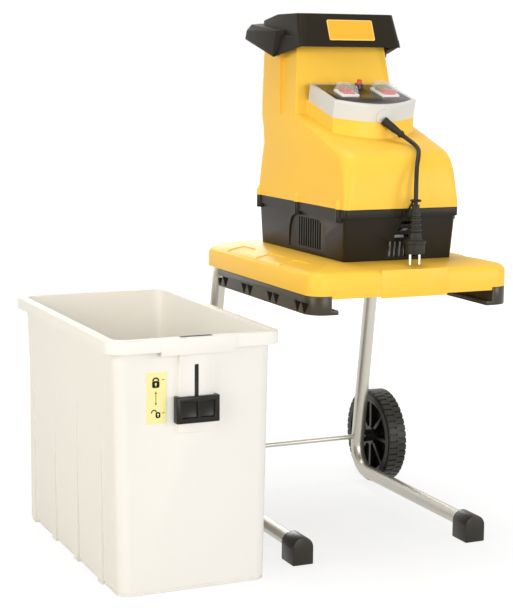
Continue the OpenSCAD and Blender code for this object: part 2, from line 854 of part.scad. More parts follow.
// Raised A-shaped frame round the front grille, which follows the lean of the front wall
module grille_frame() {
    low = 2;
    high = 83;
    bar = 5;
    grille_x = 11;
    low_hw = 43;
    high_hw = 10;
    slope = atan2(10, lower_h);
    translate([grille_x, joint_y0 + 13, platform_top]) rotate([90 + slope, 0, 0])
        translate([0, 0, -1]) linear_extrude(3.5) difference() {
            polygon([[-low_hw, low], [low_hw, low], [high_hw, high], [-high_hw, high]]);
            polygon([[-low_hw + bar, low + bar], [low_hw - bar, low + bar], [low_hw - 18, low + 33],
                [-low_hw + 18, low + 33]]);
            polygon([[-low_hw + 20, low + 38], [low_hw - 20, low + 38], [high_hw - bar, high - bar],
                [-high_hw + bar, high - bar]]);
        }
}
module lower_housing() {
    saddle = 6;
    color(black) difference() {
        union() {
            difference() {
                union() {
                    lower_tub(0, platform_top, joint_z);
                    loft([for (z = [joint_z - band_h, joint_z])
                        housing_ring(joint_hw, joint_y0, joint_back, joint_r, z)]);
                }
                difference() {
                    lower_tub(housing_wall, floor_z, joint_z + over);
                    both_sides() louvre_arch(joint_hw - 8 - 2 * housing_wall, joint_hw, -housing_wall);
                }
                front_grille();
                both_sides() {
                    side_louvre();
                    louvre_arch(joint_hw - 8, joint_hw + over, 0);
                }
            }
            difference() {
                grille_frame();
                front_grille();
            }
            both_sides() for (y = boss_ys) rod_z(boss_x, y, 2 * boss_r, joint_z - boss_low, joint_z);
            for (y = [cap_y + 12, cap_y + cap_l - 12])
                block([cap_x - cap_d / 2 - 3, y - saddle / 2, floor_z - over],
                    [cap_x + cap_d / 2 + 3, y + saddle / 2, cap_z]);
        }
        both_sides() for (y = boss_ys) {
            rod_z(boss_x, y, housing_screw_d + 2 * seat_clear, joint_z - boss_low - over, joint_z + over);
            rod_z(boss_x, y, housing_screw_head_d + 2 * seat_clear, joint_z - boss_low - over,
                joint_z - boss_low + 4);
        }
        rod_y(cap_x, cap_z, cap_d + 2 * seat_clear, cap_y, cap_y + cap_l);
        for (b = base_bolts_at)
            rod_z(b.x, b.y, base_bolt_d + 2 * seat_clear, platform_top - over, floor_z + over);
        discharge(platform_top - over, floor_z + over);
    }
}

// Ring on an arm at the front of the housing, through which the cord hangs
module cord_hook() {
    foot_half = 8;
    foot_out = 3;
    from = [plug_at.x, plug_at.y + hook_r, hook_z];
    to = [plug_at.x - 4, joint_y0 - foot_out + 1, joint_z - band_h / 2];
    color(black) {
        translate([plug_at.x, plug_at.y, hook_z])
            rotate_extrude() translate([hook_r, 0]) circle(d = hook_d, $fn = 24);
        along(from, to) cylinder(d = hook_d, h = norm(to - from));
        block([to.x - foot_half, joint_y0 - foot_out, joint_z - band_h + 2],
            [to.x + foot_half, joint_y0, joint_z - 2]);
    }
}
module housing_screws() {
    color(steel) both_sides() for (y = boss_ys) {
        rod_z(boss_x, y, housing_screw_d, joint_z - boss_low + 3, joint_z + boss_high - 4);
        rod_z(boss_x, y, housing_screw_head_d, joint_z - boss_low + 1, joint_z - boss_low + 4 - seat_clear);
    }
}
// Bolts from under the platform into the feet of the motor and gearbox
module base_bolts() {
    top = platform_top - platform_wall;
    color(steel) for (b = base_bolts_at) {
        rod_z(b.x, b.y, base_bolt_d, top - over, top + base_bolt_l);
        rod_z(b.x, b.y, base_bolt_d * 1.7, top - base_bolt_head, top);
    }
}

function back_at(h) = joint_back + (column_back - joint_back) * h / column_h;
function upper_ring(row, in, drop) = housing_ring(
    joint_hw - side_draft * row[0] - in, row[1] + in, back_at(row[0]) - in, max(row[2] - in, 3),
    joint_z + row[0] - drop);
// Outline of the control panel: bowed front edge, straight sides, set in by a distance
function panel_outline(hw, back_hw, l, in) = concat(
    [for (i = [-8:8])
        [(hw - in) * i / 8, panel_mid_v + (panel_corner_v - panel_mid_v) * pow(i / 8, 2) + in]],
    [[back_hw - in, l - in], [-back_hw + in, l - in]]);
// Box under the control panel, cut off along the panel's slope
module control_base(in) {
    shift = panel_y + bezel_t * sin(panel_tilt);
    back_l = column_front - 20 - shift;
    difference() {
        translate([0, shift, joint_z + 112])
            linear_extrude(150)
                polygon(panel_outline(panel_hw - 1, panel_back_hw - 1, back_l - in * 6, in));
        if (in == 0)
            on_panel() translate([-joint_hw, -joint_hw, -bezel_t]) cube([2 * joint_hw, 3 * joint_hw, 200]);
    }
}
// What the step takes off one side of the column, grown by a distance
module neck_cut(grow) {
    function ring(h, x) = at_height([[x - grow, 0], [2 * joint_hw, 0],
        [2 * joint_hw, neck_y - neck_lean * (column_h - h) + grow],
        [x - grow, neck_y - neck_lean * (column_h - h) + grow]], joint_z + h - grow);
    function neck_at(h) = neck_hw + neck_draft * (column_h - h);
    loft([ring(neck_low - 12, joint_hw - 5), ring(neck_low, neck_at(neck_low)),
        ring(column_h + 20, neck_at(column_h + 20))]);
}
module upper_housing() {
    last = len(profile) - 1;
    color(yellow) difference() {
        union() {
            difference() {
                union() {
                    difference() {
                        loft([for (row = profile) upper_ring(row, 0, 0)]);
                        both_sides() neck_cut(0);
                    }
                    control_base(0);
                }
                difference() {
                    loft(concat(
                        [upper_ring(profile[0], housing_wall, over)],
                        [for (i = [1:last]) upper_ring(profile[i], housing_wall, housing_wall)],
                        [upper_ring(profile[last], housing_wall, -over)]));
                    both_sides() neck_cut(housing_wall);
                }
                control_base(housing_wall);
            }
            both_sides() for (y = boss_ys) {
                rod_z(boss_x, y, 2 * boss_r, joint_z, joint_z + boss_high - boss_r);
                translate([boss_x, y, joint_z + boss_high - boss_r]) sphere(r = boss_r, $fn = 32);
            }
        }
        both_sides() for (y = boss_ys)
            rod_z(boss_x, y, housing_screw_d + 2 * seat_clear, joint_z - over, joint_z + boss_high - 3);
        rod_x(screw_y, screw_z, screw_d + 4, joint_hw - 20, joint_hw + over);
    }
}

// Dark cover over the back of the crusher
module rear_cover() {
    cover_hw = 62;
    cover_out = 6;
    z0 = joint_z + 20;
    z1 = joint_z + 112;
    color(black) difference() {
        loft([
            housing_ring(cover_hw, joint_back - 3, back_at(20) + cover_out, 1, z0),
            housing_ring(cover_hw, joint_back - 3, back_at(112) + cover_out, 1, z1)
        ]);
        loft([for (row = [[0, 0, 0], [column_h, 0, 0]])
            housing_ring(joint_hw, 0, back_at(row[0]), 14, joint_z + row[0])]);
    }
}

function cap_ring(in, share, z) = housing_ring(
    cap_hw - cap_top_in * share - in, cap_y0 + cap_lean * share + in, cap_y1 - 14 * share - in, 15 - in, z);
// Grip along one side of the cap, lowest in the middle
module cap_grip() {
    ball = 3;
    lug = [
        [-5, 86, 30], [12, 90, 28], [14, 98, -16], [-3, 98, -9], [20, 212, 17], [-5, 204, 18], [19, 208, 31],
        [13, 202, 41], [-5, 198, 43]
    ];
    skirt = [[-5, 10, 4], [-5, 14, 12], [8, 97, -14], [-3, 97, -9], [2, 97, 20], [-5, 97, 24]];
    for (corners = [lug, skirt]) hull() for (c = corners)
        translate([cap_hw, cap_y0, cap_z0] + c) sphere(r = ball, $fn = 16);
}
module collar_shape(out) {
    polygon(rounded(-collar_hw - out, collar_hw + out, collar_y0 - out, collar_y1 + out, 8 + out));
}
// What is cut off the top of the cap where it falls towards the back, lowered by a distance
module cap_fall_cut(low) {
    translate([-joint_hw, cap_fall_y, cap_z1 - low]) rotate([-cap_fall, 0, 0]) cube(2 * joint_hw);
}
module hopper_cap() {
    flange_t = 3;
    color(black) difference() {
        union() {
            difference() {
                loft([cap_ring(0, 0, cap_z0), cap_ring(0, 1, cap_z1)]);
                difference() {
                    loft([cap_ring(cap_wall, -0.05, cap_z0 - 0.05 * cap_h),
                        cap_ring(cap_wall, 1 - cap_wall / cap_h, cap_z1 - cap_wall)]);
                    cap_fall_cut(cap_wall);
                }
            }
            difference() {
                both_sides() cap_grip();
                loft([for (row = profile) upper_ring(row, -2 * seat_clear, -2 * seat_clear)]);
            }
            translate([0, 0, collar_z0]) linear_extrude(cap_z1 - collar_z0 - over) collar_shape(0);
            translate([0, 0, column_z]) linear_extrude(flange_t)
                collar_shape(collar_gap + housing_wall / 2);
        }
        translate([0, 0, collar_z0 - over]) linear_extrude(cap_h * 2) collar_shape(-collar_wall);
        cap_fall_cut(0);
    }
}
// Blank badge on the sloping front of the cap
module badge_plate() {
    badge_t = 1.2;
    middle = norm([cap_h, cap_lean]) / 2;
    color(yellow) translate([0, cap_y0, cap_z0]) rotate([cap_slope, 0, 0]) linear_extrude(badge_t)
        polygon(rounded(-badge_w / 2, badge_w / 2, middle - badge_h / 2, middle + badge_h / 2, 3));
}
// Funnel between the cap's collar and the crusher
module feed_chute() {
    top = collar_z0 - 2 * seat_clear;
    function low_ring(in, z) = at_height(rounded(
        chamber_x0 - chute_wall + in, chamber_x1 + chute_wall - in,
        chamber_y0 - chute_wall + in, chamber_y1 + chute_wall - in, 5 - in), z);
    function high_ring(in, z) = at_height(rounded(
        -collar_hw + in, collar_hw - in, collar_y0 + in, collar_y1 - in, 8 - in), z);
    color(black) difference() {
        loft([low_ring(0, crusher_top), high_ring(0, top)]);
        loft([low_ring(chute_wall, crusher_top - over), high_ring(chute_wall, top + over)]);
    }
}

// Controls

module panel_slab(in, w0, w1) {
    on_panel() translate([0, 0, w0]) linear_extrude(w1 - w0)
        polygon(panel_outline(panel_hw, panel_back_hw, panel_l, in));
}
// Upright block on the panel, centred in X, starting at v
module panel_block(x, v, w, l, low, high) {
    on_panel() block([x - w / 2, v, low], [x + w / 2, v + l, high]);
}
module switch_cut(grow, low, high) {
    panel_block(panel_dir_x, panel_dir_v + frame_wall - grow, switch_w - 2 * frame_wall + 2 * grow,
        direction_l - 2 * frame_wall + 2 * grow, low, high);
    panel_block(panel_pow_x, panel_pow_v + frame_wall - grow, switch_w - 2 * frame_wall + 2 * grow,
        power_l - 2 * frame_wall + 2 * grow, low, high);
}
module control_bezel() {
    wall = 4;
    roof = 4;
    color(bezel_grey) difference() {
        union() {
            panel_slab(0, -bezel_t, 0);
            on_panel() intersection() {
                translate([sleeve_from.x, panel_mid_v - gland_out, gland_w]) rotate([-90, 0, 0])
                    cylinder(d = gland_d, h = gland_out + 5);
                translate([-joint_hw, -joint_hw, -bezel_t]) cube(2 * joint_hw);
            }
        }
        panel_slab(wall, -bezel_t - over, -roof - plate_t);
        panel_slab(plate_in - seat_clear, -plate_t, over);
        switch_cut(seat_clear, -bezel_t, over);
        on_panel() rod_z(reset_x, reset_v, reset_d + 2 * run_clear, -bezel_t, over);
    }
}
module control_plate() {
    color([0.1, 0.1, 0.1]) difference() {
        union() {
            panel_slab(plate_in, -plate_t, 0);
            on_panel() rod_z(reset_x, reset_v, reset_collar_d, -over, reset_collar_h);
        }
        switch_cut(seat_clear, -bezel_t, over);
        on_panel() rod_z(reset_x, reset_v, reset_d + 2 * run_clear, -bezel_t, reset_collar_h + over);
    }
}
// White frames of the two switches, each with a well for what moves in it
module switch_frames() {
    color("white") difference() {
        union() {
            panel_block(panel_dir_x, panel_dir_v, switch_w, direction_l, 0, frame_h);
            panel_block(panel_pow_x, panel_pow_v, switch_w, power_l, 0, frame_h);
            switch_cut(0, -switch_deep, over);
        }
        switch_cut(-2, -switch_deep + 2, frame_h + over);
    }
}
rocker_w = switch_w - 2 * frame_wall - 2 * 2 - 1;
rocker_l = direction_l - 2 * frame_wall - 2 * 2 - 6;
rocker_v = panel_dir_v + direction_l / 2;
rocker_axis = -4;
// Rocker that sets the roller's direction: tips about a pin across the switch
module direction_rocker() {
    wing = 6;
    tip = 2;
    color(red) on_panel() translate([panel_dir_x - rocker_w / 2, rocker_v, rocker_axis])
        along_x(0, rocker_w) {
            polygon([
                [-rocker_l / 2, 0], [-3, -wing], [3, -wing], [rocker_l / 2, 0],
                [rocker_l / 2, frame_h + tip - rocker_axis + 2], [0, frame_h + tip - rocker_axis - 1],
                [-rocker_l / 2, frame_h + tip - rocker_axis + 2]
            ]);
        }
}
button_w = switch_w - 2 * frame_wall - 2 * 2 - 1;
button_l = (power_l - 2 * frame_wall - 2 * 2 - 3) / 2;
module push_button(v) {
    panel_block(panel_pow_x, v, button_w, button_l, -switch_deep + 2 + button_travel + 1, button_h);
}
module off_button() { color(red) push_button(panel_pow_v + frame_wall + 2 + 1); }
module on_button() { color([0.2, 0.6, 0.3]) push_button(panel_pow_v + frame_wall + 2 + 2 + button_l); }
// Clear splash covers over both switches
module switch_cover(x, v, l) {
    slope = 4;
    function ring(in, z) = at_height(rounded(x - switch_w / 2 + in, x + switch_w / 2 - in, v + in,
        v + l - in, 2), z);
    on_panel() difference() {
        loft([ring(0, frame_h), ring(slope, frame_h + cover_h)]);
        loft([
            ring(cover_wall - slope / cover_h, frame_h - 1),
            ring(cover_wall + slope * (1 - cover_wall / cover_h), frame_h + cover_h - cover_wall)
        ]);
    }
}
module switch_covers() {
    color([0.9, 0.95, 0.95, 0.35]) {
        switch_cover(panel_dir_x, panel_dir_v, direction_l);
        switch_cover(panel_pow_x, panel_pow_v, power_l);
    }
}
module reset_button() {
    color(red) on_panel() rod_z(reset_x, reset_v, reset_d, -10, reset_collar_h + reset_out);
}

// Cord

// Rubber sleeve where the cord leaves the bezel
module strain_relief() {
    color(black) difference() {
        along(sleeve_from, sleeve_to)
            cylinder(d1 = sleeve_d, d2 = sleeve_end_d, h = norm(sleeve_to - sleeve_from));
        on_panel() translate([-joint_hw, panel_mid_v - gland_out, -joint_hw]) cube(2 * joint_hw);
    }
}
// Smooth curve through the points of a route
function curve_point(p, i, t) =
    let (a = p[max(i - 1, 0)], b = p[i], c = p[i + 1], d = p[min(i + 2, len(p) - 1)])
    0.5 * (2 * b + (c - a) * t + (2 * a - 5 * b + 4 * c - d) * t * t + (3 * b - a - 3 * c + d) * t * t * t);
function curve(p, steps) = concat(
    [for (i = [0:len(p) - 2], k = [0:steps - 1]) curve_point(p, i, k / steps)], [p[len(p) - 1]]);
function tube_ring(c, way, r, sides) =
    let (u = unit(cross([1, 0, 0], way)), v = cross(way, u))
    [for (k = [0:sides - 1]) c + r * (cos(k * 360 / sides) * u + sin(k * 360 / sides) * v)];
module power_cord() {
    line = curve(cord_route, 2);
    last = len(line) - 1;
    color(black) loft([
        for (i = [0:last])
            let (way = i == 0 ? unit(sleeve_to - sleeve_from) : i == last ? [0, 0,
                -1] : unit(line[i + 1] - line[i - 1]))
                tube_ring(line[i], way, cord_d / 2, cord_sides)
    ]);
}
// Moulded mains plug hanging by its cord
module plug_body() {
    neck = plug_top_z - plug_face_z;
    ribs = 4;
    rib_pitch = 9;
    rib_z = neck - 48;
    color(black) translate([plug_at.x, plug_at.y, plug_face_z]) rotate_extrude() polygon(concat(
        [[0, 0], [plug_d / 2 - 1, 0], [plug_d / 2 - 1, 18], [plug_d / 2 + 1, 19], [plug_d / 2 + 1, 23],
            [13, 26], [11, rib_z]],
        [for (i = [0:ribs - 1], p = [[0, 0], [1.5, 1], [1.5, 5], [0, 6]])
            [10 - i * 0.7 + p[0], rib_z + 2 + i * rib_pitch + p[1]]],
        [[7, neck - 4], [7, neck], [0, neck]]));
}
module plug_pins() {
    color(steel) for (side = [-1, 1])
        rod_z(plug_at.x + side * pin_spacing / 2, plug_at.y, pin_d, plug_face_z - pin_l, plug_face_z);
}

// Drive

// Involute gear outline with a tooth centred on +X
pressure = 25;
addendum = 0.8;
function inv(r, base) = let (a = acos(base / r)) tan(a) * 180 / PI - a;
module gear_shape(teeth, m) {
    pitch_r = m * teeth / 2;
    base = pitch_r * cos(pressure);
    root = pitch_r - m;
    tip = pitch_r + addendum * m;
    low = max(base, root);
    half = (PI * m / 2 - backlash) / 2 / pitch_r * 180 / PI + inv(pitch_r, base);
    steps = 3;
    flank = [for (k = [0:steps]) let (r = low + (tip - low) * k / steps) [r, half - inv(r, base)]];
    tooth = concat(
        [[root, -flank[0][1]]], [for (f = flank) [f[0], -f[1]]],
        [for (k = [steps:-1:0]) flank[k]], [[root, flank[0][1]]]);
    polygon([
        for (i = [0:teeth - 1], p = tooth) let (a = i * 360 / teeth + p[1]) p[0] * [cos(a), sin(a)]
    ]);
}
// Outline round both gear axes
module gearbox_shape(r) {
    translate([drive_x, drive_z]) circle(r = r);
    translate([drive_x, counter_z]) circle(r = r);
    translate([drive_x - r, drive_z]) square([2 * r, gear_gap]);
}
gear_inner_r = gear_r1 + gear_room;
gear_outer_r = gear_inner_r + gear_wall;
foot_top = drive_z - stator_d / 2 + 12;

// Aluminium case round the crushing roller, open to the chute above and the box below
module crusher_case() {
    color([0.7, 0.71, 0.72]) difference() {
        block([chamber_x0 - crusher_side, crusher_y0, floor_z],
            [chamber_x1 + crusher_side, crusher_y1, crusher_top]);
        discharge(floor_z - over, crusher_top + over);
        rod_y(drive_x, drive_z, roller_bearing_d + 2 * seat_clear, crusher_y0 - over, crusher_y1 + over);
        rod_x(screw_y, screw_z, screw_d + 2 * run_clear, chamber_x1 - over,
            chamber_x1 + crusher_side + over);
    }
}
// Toothed steel roller that draws branches in against the pressure plate
module crushing_roller() {
    low = roller_d / 2 - 9;
    pitch = 360 / roller_teeth;
    color([0.45, 0.45, 0.47]) along_y(roller_y0, roller_y0 + roller_l) translate([drive_x, drive_z])
        difference() {
        polygon([
            for (i = [0:roller_teeth - 1],
                p = [[0, low], [0.3, roller_d / 2], [0.45, roller_d / 2], [0.6, low]])
                let (a = (i + p[0]) * pitch) p[1] * [cos(a), sin(a)]
        ]);
        hex(roller_hex);
    }
}
module roller_shaft() {
    front = crusher_y0 - 2;
    back = crusher_y1 + 2;
    color(steel) union() {
        along_y(stage2_y - 2, front) translate([drive_x, drive_z]) hex(roller_hex - 2 * hex_clear);
        rod_y(drive_x, drive_z, roller_shaft_d, front, back);
        along_y(roller_y0 - 1, roller_y0 + roller_l + 1) translate([drive_x, drive_z])
            hex(roller_hex - 2 * hex_clear);
    }
}
// Plate beside the roller, moved by the adjusting screw
module pressure_plate() {
    boss = 5;
    color([0.62, 0.62, 0.64]) difference() {
        union() {
            block([plate_x0, chamber_y0 + 4, drive_z - 42],
                [plate_x0 + press_plate_t, chamber_y1 - 4, drive_z + 52]);
            rod_x(screw_y, screw_z, 2.2 * screw_d, plate_x0 + press_plate_t - over,
                plate_x0 + press_plate_t + boss);
        }
        rod_x(screw_y, screw_z, screw_d + 2 * run_clear, plate_x0 + 3,
            plate_x0 + press_plate_t + boss + over);
    }
}
module adjusting_screw() {
    collar = 4;
    start = chamber_x1 + crusher_side + 2 * seat_clear;
    color(steel) {
        rod_x(screw_y, screw_z, screw_d, plate_x0 + 8, knob_x + knob_l - 4);
        rod_x(screw_y, screw_z, 1.6 * screw_d, start, start + collar);
    }
}
module adjusting_knob() {
    lobes = 8;
    color(black) difference() {
        rod_x(screw_y, screw_z, knob_d, knob_x, knob_x + knob_l);
        for (i = [0:lobes - 1])
            rod_x(screw_y + knob_d * 0.55 * cos(i * 360 / lobes),
                screw_z + knob_d * 0.55 * sin(i * 360 / lobes),
                knob_d / 5, knob_x - over, knob_x + knob_l + over);
        rod_x(screw_y, screw_z, screw_d + 2 * hex_clear, knob_x - over, knob_x + knob_l - 4 + hex_clear);
    }
}

module gearbox_case() {
    color([0.68, 0.69, 0.7]) difference() {
        union() {
            along_y(gear_y0, crusher_y0) gearbox_shape(gear_outer_r);
            block([drive_x - 36, gear_y0 + 4, floor_z], [drive_x + 36, gear_y0 + 58, foot_top]);
        }
        along_y(gear_y0 - over, crusher_y0 - gear_wall) gearbox_shape(gear_inner_r);
        rod_y(drive_x, drive_z, roller_hex + 6, crusher_y0 - 2 * gear_wall, crusher_y0 + over);
        rod_y(drive_x, counter_z, counter_d + 2 * run_clear, crusher_y0 - 2 * gear_wall, crusher_y0 + over);
        for (i = [2, 3])
            rod_z(base_bolts_at[i].x, base_bolts_at[i].y, base_bolt_d + 2 * seat_clear, floor_z - over,
                foot_top);
    }
}
// Cover of the gearbox, which is also the back shield of the motor
module gearbox_cover() {
    rim = 5;
    color([0.68, 0.69, 0.7]) difference() {
        union() {
            along_y(cover_y0, gear_y0) gearbox_shape(gear_outer_r);
            rod_y(drive_x, drive_z, stator_d, stator_y1, cover_y0 + over);
        }
        rod_y(drive_x, drive_z, stator_d - 2 * rim, stator_y1 - over, cover_y0);
        rod_y(drive_x, drive_z, motor_bearing_d + 2 * seat_clear, stator_y1, gear_y0 + over);
        rod_y(drive_x, counter_z, counter_d + 2 * run_clear, cover_y0 - over, gear_y0 + over);
    }
}
module output_gear() {
    color([0.55, 0.55, 0.57]) along_y(stage2_y, stage2_y + stage2_l) translate([drive_x, drive_z])
        difference() {
        rotate(90 + 180 / gear2_teeth) gear_shape(gear2_teeth, module2);
        hex(roller_hex);
    }
}
// Large gear and pinion in one piece on the intermediate shaft
module intermediate_gears() {
    color([0.6, 0.58, 0.52]) difference() {
        union() {
            along_y(stage1_y, stage1_y + stage1_l) translate([drive_x, counter_z])
                rotate(-90 + 180 / gear1_teeth) gear_shape(gear1_teeth, module1);
            along_y(stage1_y + stage1_l, stage2_y + stage2_l) translate([drive_x, counter_z])
                rotate(-90) gear_shape(pinion2_teeth, module2);
        }
        along_y(stage1_y - over, stage2_y + stage2_l + over) translate([drive_x, counter_z])
            hex(counter_hex);
    }
}
module intermediate_shaft() {
    color(steel) union() {
        rod_y(drive_x, counter_z, counter_d, cover_y0, crusher_y0);
        along_y(gear_y0 + 2, stage2_y + stage2_l + 2) translate([drive_x, counter_z])
            hex(counter_hex - 2 * hex_clear);
    }
}
module motor_pinion() {
    color([0.6, 0.6, 0.62]) along_y(stage1_y - 1, stage1_y + stage1_l + 1) translate([drive_x, drive_z])
        difference() {
        rotate(90) gear_shape(pinion1_teeth, module1);
        hex(pinion_hex);
    }
}
// Laminated rotor on its shaft, with a hexagon end for the pinion
module motor_rotor() {
    color([0.5, 0.5, 0.53]) union() {
        rod_y(drive_x, drive_z, rotor_d, stator_y0 + 1, stator_y1 - 1);
        rod_y(drive_x, drive_z, motor_shaft_d, -2, stage1_y - 2);
        along_y(stage1_y - 3, stage1_y + stage1_l + 2) translate([drive_x, drive_z])
            hex(pinion_hex - 2 * hex_clear);
    }
}
module stator_core() {
    air_gap = 0.5;
    color([0.4, 0.4, 0.42]) difference() {
        rod_y(drive_x, drive_z, stator_d, stator_y0, stator_y1);
        rod_y(drive_x, drive_z, rotor_d + 2 * air_gap, stator_y0 - over, stator_y1 + over);
    }
}
// Copper end windings at both faces of the stator
module stator_windings() {
    out = stator_d - 18;
    in = rotor_d + 7;
    color([0.75, 0.42, 0.2]) for (y = [stator_y0 - winding_l, stator_y1]) difference() {
        rod_y(drive_x, drive_z, out, y, y + winding_l);
        rod_y(drive_x, drive_z, in, y - over, y + winding_l + over);
    }
}
module motor_front_shield() {
    rim = 5;
    color([0.68, 0.69, 0.7]) difference() {
        union() {
            rod_y(drive_x, drive_z, stator_d, shield_y0, stator_y0);
            block([drive_x - 32, shield_y0, floor_z], [drive_x + 32, shield_y0 + shield_t, foot_top]);
        }
        rod_y(drive_x, drive_z, stator_d - 2 * rim, shield_y0 + shield_t, stator_y0 + over);
        rod_y(drive_x, drive_z, motor_bearing_d + 2 * seat_clear, shield_y0 - over, stator_y0);
        for (i = [0, 1])
            rod_z(base_bolts_at[i].x, base_bolts_at[i].y, base_bolt_d + 2 * seat_clear, floor_z - over,
                floor_z + base_bolt_l);
    }
}
module cooling_fan() {
    blades = 9;
    fan_d = 96;
    fan_y1 = shield_y0 - 2;
    fan_l = 11;
    disc = 2;
    blade = 2;
    color([0.25, 0.27, 0.3]) difference() {
        union() {
            rod_y(drive_x, drive_z, 2 * motor_shaft_d, fan_y1 - fan_l, fan_y1);
            rod_y(drive_x, drive_z, fan_d, fan_y1 - disc, fan_y1);
            for (i = [0:blades - 1])
                translate([drive_x, 0, drive_z]) rotate([0, i * 360 / blades, 0])
                    block([motor_shaft_d - 1, fan_y1 - fan_l, -blade / 2],
                        [fan_d / 2 - 1, fan_y1 - disc + 0.5, blade / 2]);
        }
        rod_y(drive_x, drive_z, motor_shaft_d + 2 * hex_clear, fan_y1 - fan_l - over, fan_y1 + over);
    }
}
module bearing(x, z, out, in, y0, y1) {
    difference() {
        rod_y(x, z, out, y0, y1);
        rod_y(x, z, in + 2 * run_clear, y0 - over, y1 + over);
    }
}
module ball_bearings() {
    gap = (crusher_wall - roller_bearing_w) / 2;
    color([0.8, 0.8, 0.82]) {
        bearing(drive_x, drive_z, motor_bearing_d, motor_shaft_d, shield_y0, shield_y0 + shield_t);
        bearing(drive_x, drive_z, motor_bearing_d, motor_shaft_d, cover_y0, cover_y0 + cover_t);
        for (y = [crusher_y0 + gap, crusher_y1 - crusher_wall + gap])
            bearing(drive_x, drive_z, roller_bearing_d, roller_shaft_d, y, y + roller_bearing_w);
    }
}
// Motor capacitor lying in two saddles on the housing's floor
module capacitor() {
    color([0.85, 0.85, 0.88]) {
        rod_y(cap_x, cap_z, cap_d, cap_y + 1, cap_y + cap_l - 1);
        for (side = [-1, 1])
            block([cap_x + side * 6 - 3, cap_y + cap_l - 2, cap_z - 0.5],
                [cap_x + side * 6 + 3, cap_y + cap_l + 7, cap_z + 0.5]);
    }
}

// Collection box

function box_ring(hw, y0, y1, r, z) = at_height(rounded(box_x - hw, box_x + hw, y0, y1, r), z);
tongue_y1 = wall_y0 - guide_out + 2.5 + tongue_t + 2 * tongue_clear;
tongue_y0 = wall_y0 - guide_out + 2.5;
module box_body(in, z0, z1) {
    loft([
        box_ring(wall_hw - box_draft - in, wall_y0 + in, wall_y1 - box_back_draft - in, box_r - in, z0),
        box_ring(wall_hw - in, wall_y0 + in, wall_y1 - in, box_r - in, z1)
    ]);
}
module box_rim(in, z0, z1) {
    loft([for (z = [z0, z1]) box_ring(box_hw - in, box_y0 + in, box_y1 - in, box_r + rim_out / 2 - in, z)]);
}
// Upright ribs on the side walls, which stand out further as the walls draw in towards the floor
module box_ribs() {
    reach = wall_hw - box_draft * (1 - rib_top / box_h);
    for (y = rib_ys)
        block([box_x - reach, y - rib_w / 2, 0], [box_x + reach, y + rib_w / 2, rib_top]);
}
module collection_box() {
    color(cream) difference() {
        union() {
            difference() {
                box_rim(0, box_h - rim_h, box_h);
                box_rim(rim_t, box_h - rim_h - over, box_h - rim_t);
            }
            box_body(0, 0, box_h - rim_t / 2);
            block([box_x - guide_w / 2, wall_y0 - guide_out, guide_z0],
                [box_x + guide_w / 2, wall_y0 + 1, box_h - rim_t / 2]);
            block([box_x - lip_w / 2, box_y0 - lip_out, box_h - lip_h],
                [box_x + lip_w / 2, box_y0 + rim_t, box_h]);
            box_ribs();
        }
        box_body(box_wall, box_wall, box_h + over);
        block([box_x - tongue_w / 2 - tongue_clear, tongue_y0, guide_z0 + 3],
            [box_x + tongue_w / 2 + tongue_clear, tongue_y1, box_h + over]);
        block([box_x - slit_w / 2, wall_y0 - guide_out - over, lock_z0 + 8],
            [box_x + slit_w / 2, tongue_y0 + over, lock_z0 + lock_h - 8 + lock_travel + 2]);
    }
}
// Sliding lock on the front of the box: its tongue rises through the rim into the platform
module box_lock_slider() {
    back_y = wall_y0 - tongue_clear;
    recess = 5;
    rib = 3;
    edge = 9;
    color(black) {
        difference() {
            block([box_x - lock_w / 2, wall_y0 - lock_out, lock_z0],
                [box_x + lock_w / 2, back_y, lock_z0 + lock_h]);
            block([box_x - guide_w / 2 - tongue_clear, wall_y0 - guide_out - tongue_clear, lock_z0 - over],
                [box_x + guide_w / 2 + tongue_clear, wall_y0, lock_z0 + lock_h + over]);
            for (side = [-1, 1])
                block([box_x + (side < 0 ? -lock_w / 2 + edge : rib / 2), wall_y0 - lock_out - over,
                    lock_z0 + edge],
                    [box_x + (side < 0 ? -rib / 2 : lock_w / 2 - edge), wall_y0 - lock_out + recess,
                        lock_z0 + lock_h - edge]);
        }
        block([box_x - slit_w / 2 + tongue_clear, wall_y0 - guide_out - tongue_clear - over, lock_z0 + 10],
            [box_x + slit_w / 2 - tongue_clear, tongue_y0 + tongue_clear + over, lock_z0 + lock_h - 8]);
        block([box_x - tongue_w / 2, tongue_y0 + tongue_clear, lock_z0 + 10],
            [box_x + tongue_w / 2, tongue_y1 - tongue_clear, box_h - lock_travel + 11]);
    }
}
module lock_label() {
    color([0.97, 0.9, 0.5])
        block([label_x, wall_y0 - label_t, label_z0], [label_x + label_w, wall_y0, label_z0 + label_h]);
}

module placed() {
    translate([row_x, row_y, 0]) children();
}

placed() left_leg();
placed() right_leg();
placed() left_foot();
placed() right_foot();
placed() wheel_axle();
placed() axle_caps();
placed() left_tyre();
placed() left_wheel_hub();
placed() right_tyre();
placed() right_wheel_hub();
placed() platform();
placed() left_rail();
placed() right_rail();
placed() rail_screws();
placed() leg_bolts();
placed() interlock_switch();
placed() interlock_plunger();
placed() lower_housing();
placed() cord_hook();
placed() housing_screws();
placed() base_bolts();
placed() upper_housing();
placed() rear_cover();
placed() hopper_cap();
placed() badge_plate();
placed() feed_chute();
placed() control_bezel();
placed() control_plate();
placed() switch_frames();
placed() direction_rocker();
placed() on_button();
placed() off_button();
placed() switch_covers();
placed() reset_button();
placed() strain_relief();
placed() power_cord();
placed() plug_body();
placed() plug_pins();
placed() crusher_case();
placed() crushing_roller();
placed() roller_shaft();
placed() pressure_plate();
placed() adjusting_screw();
placed() adjusting_knob();
placed() gearbox_case();
placed() gearbox_cover();
placed() output_gear();
placed() intermediate_gears();
placed() intermediate_shaft();
placed() motor_pinion();
placed() motor_rotor();
placed() stator_core();
placed() stator_windings();
placed() motor_front_shield();
placed() cooling_fan();
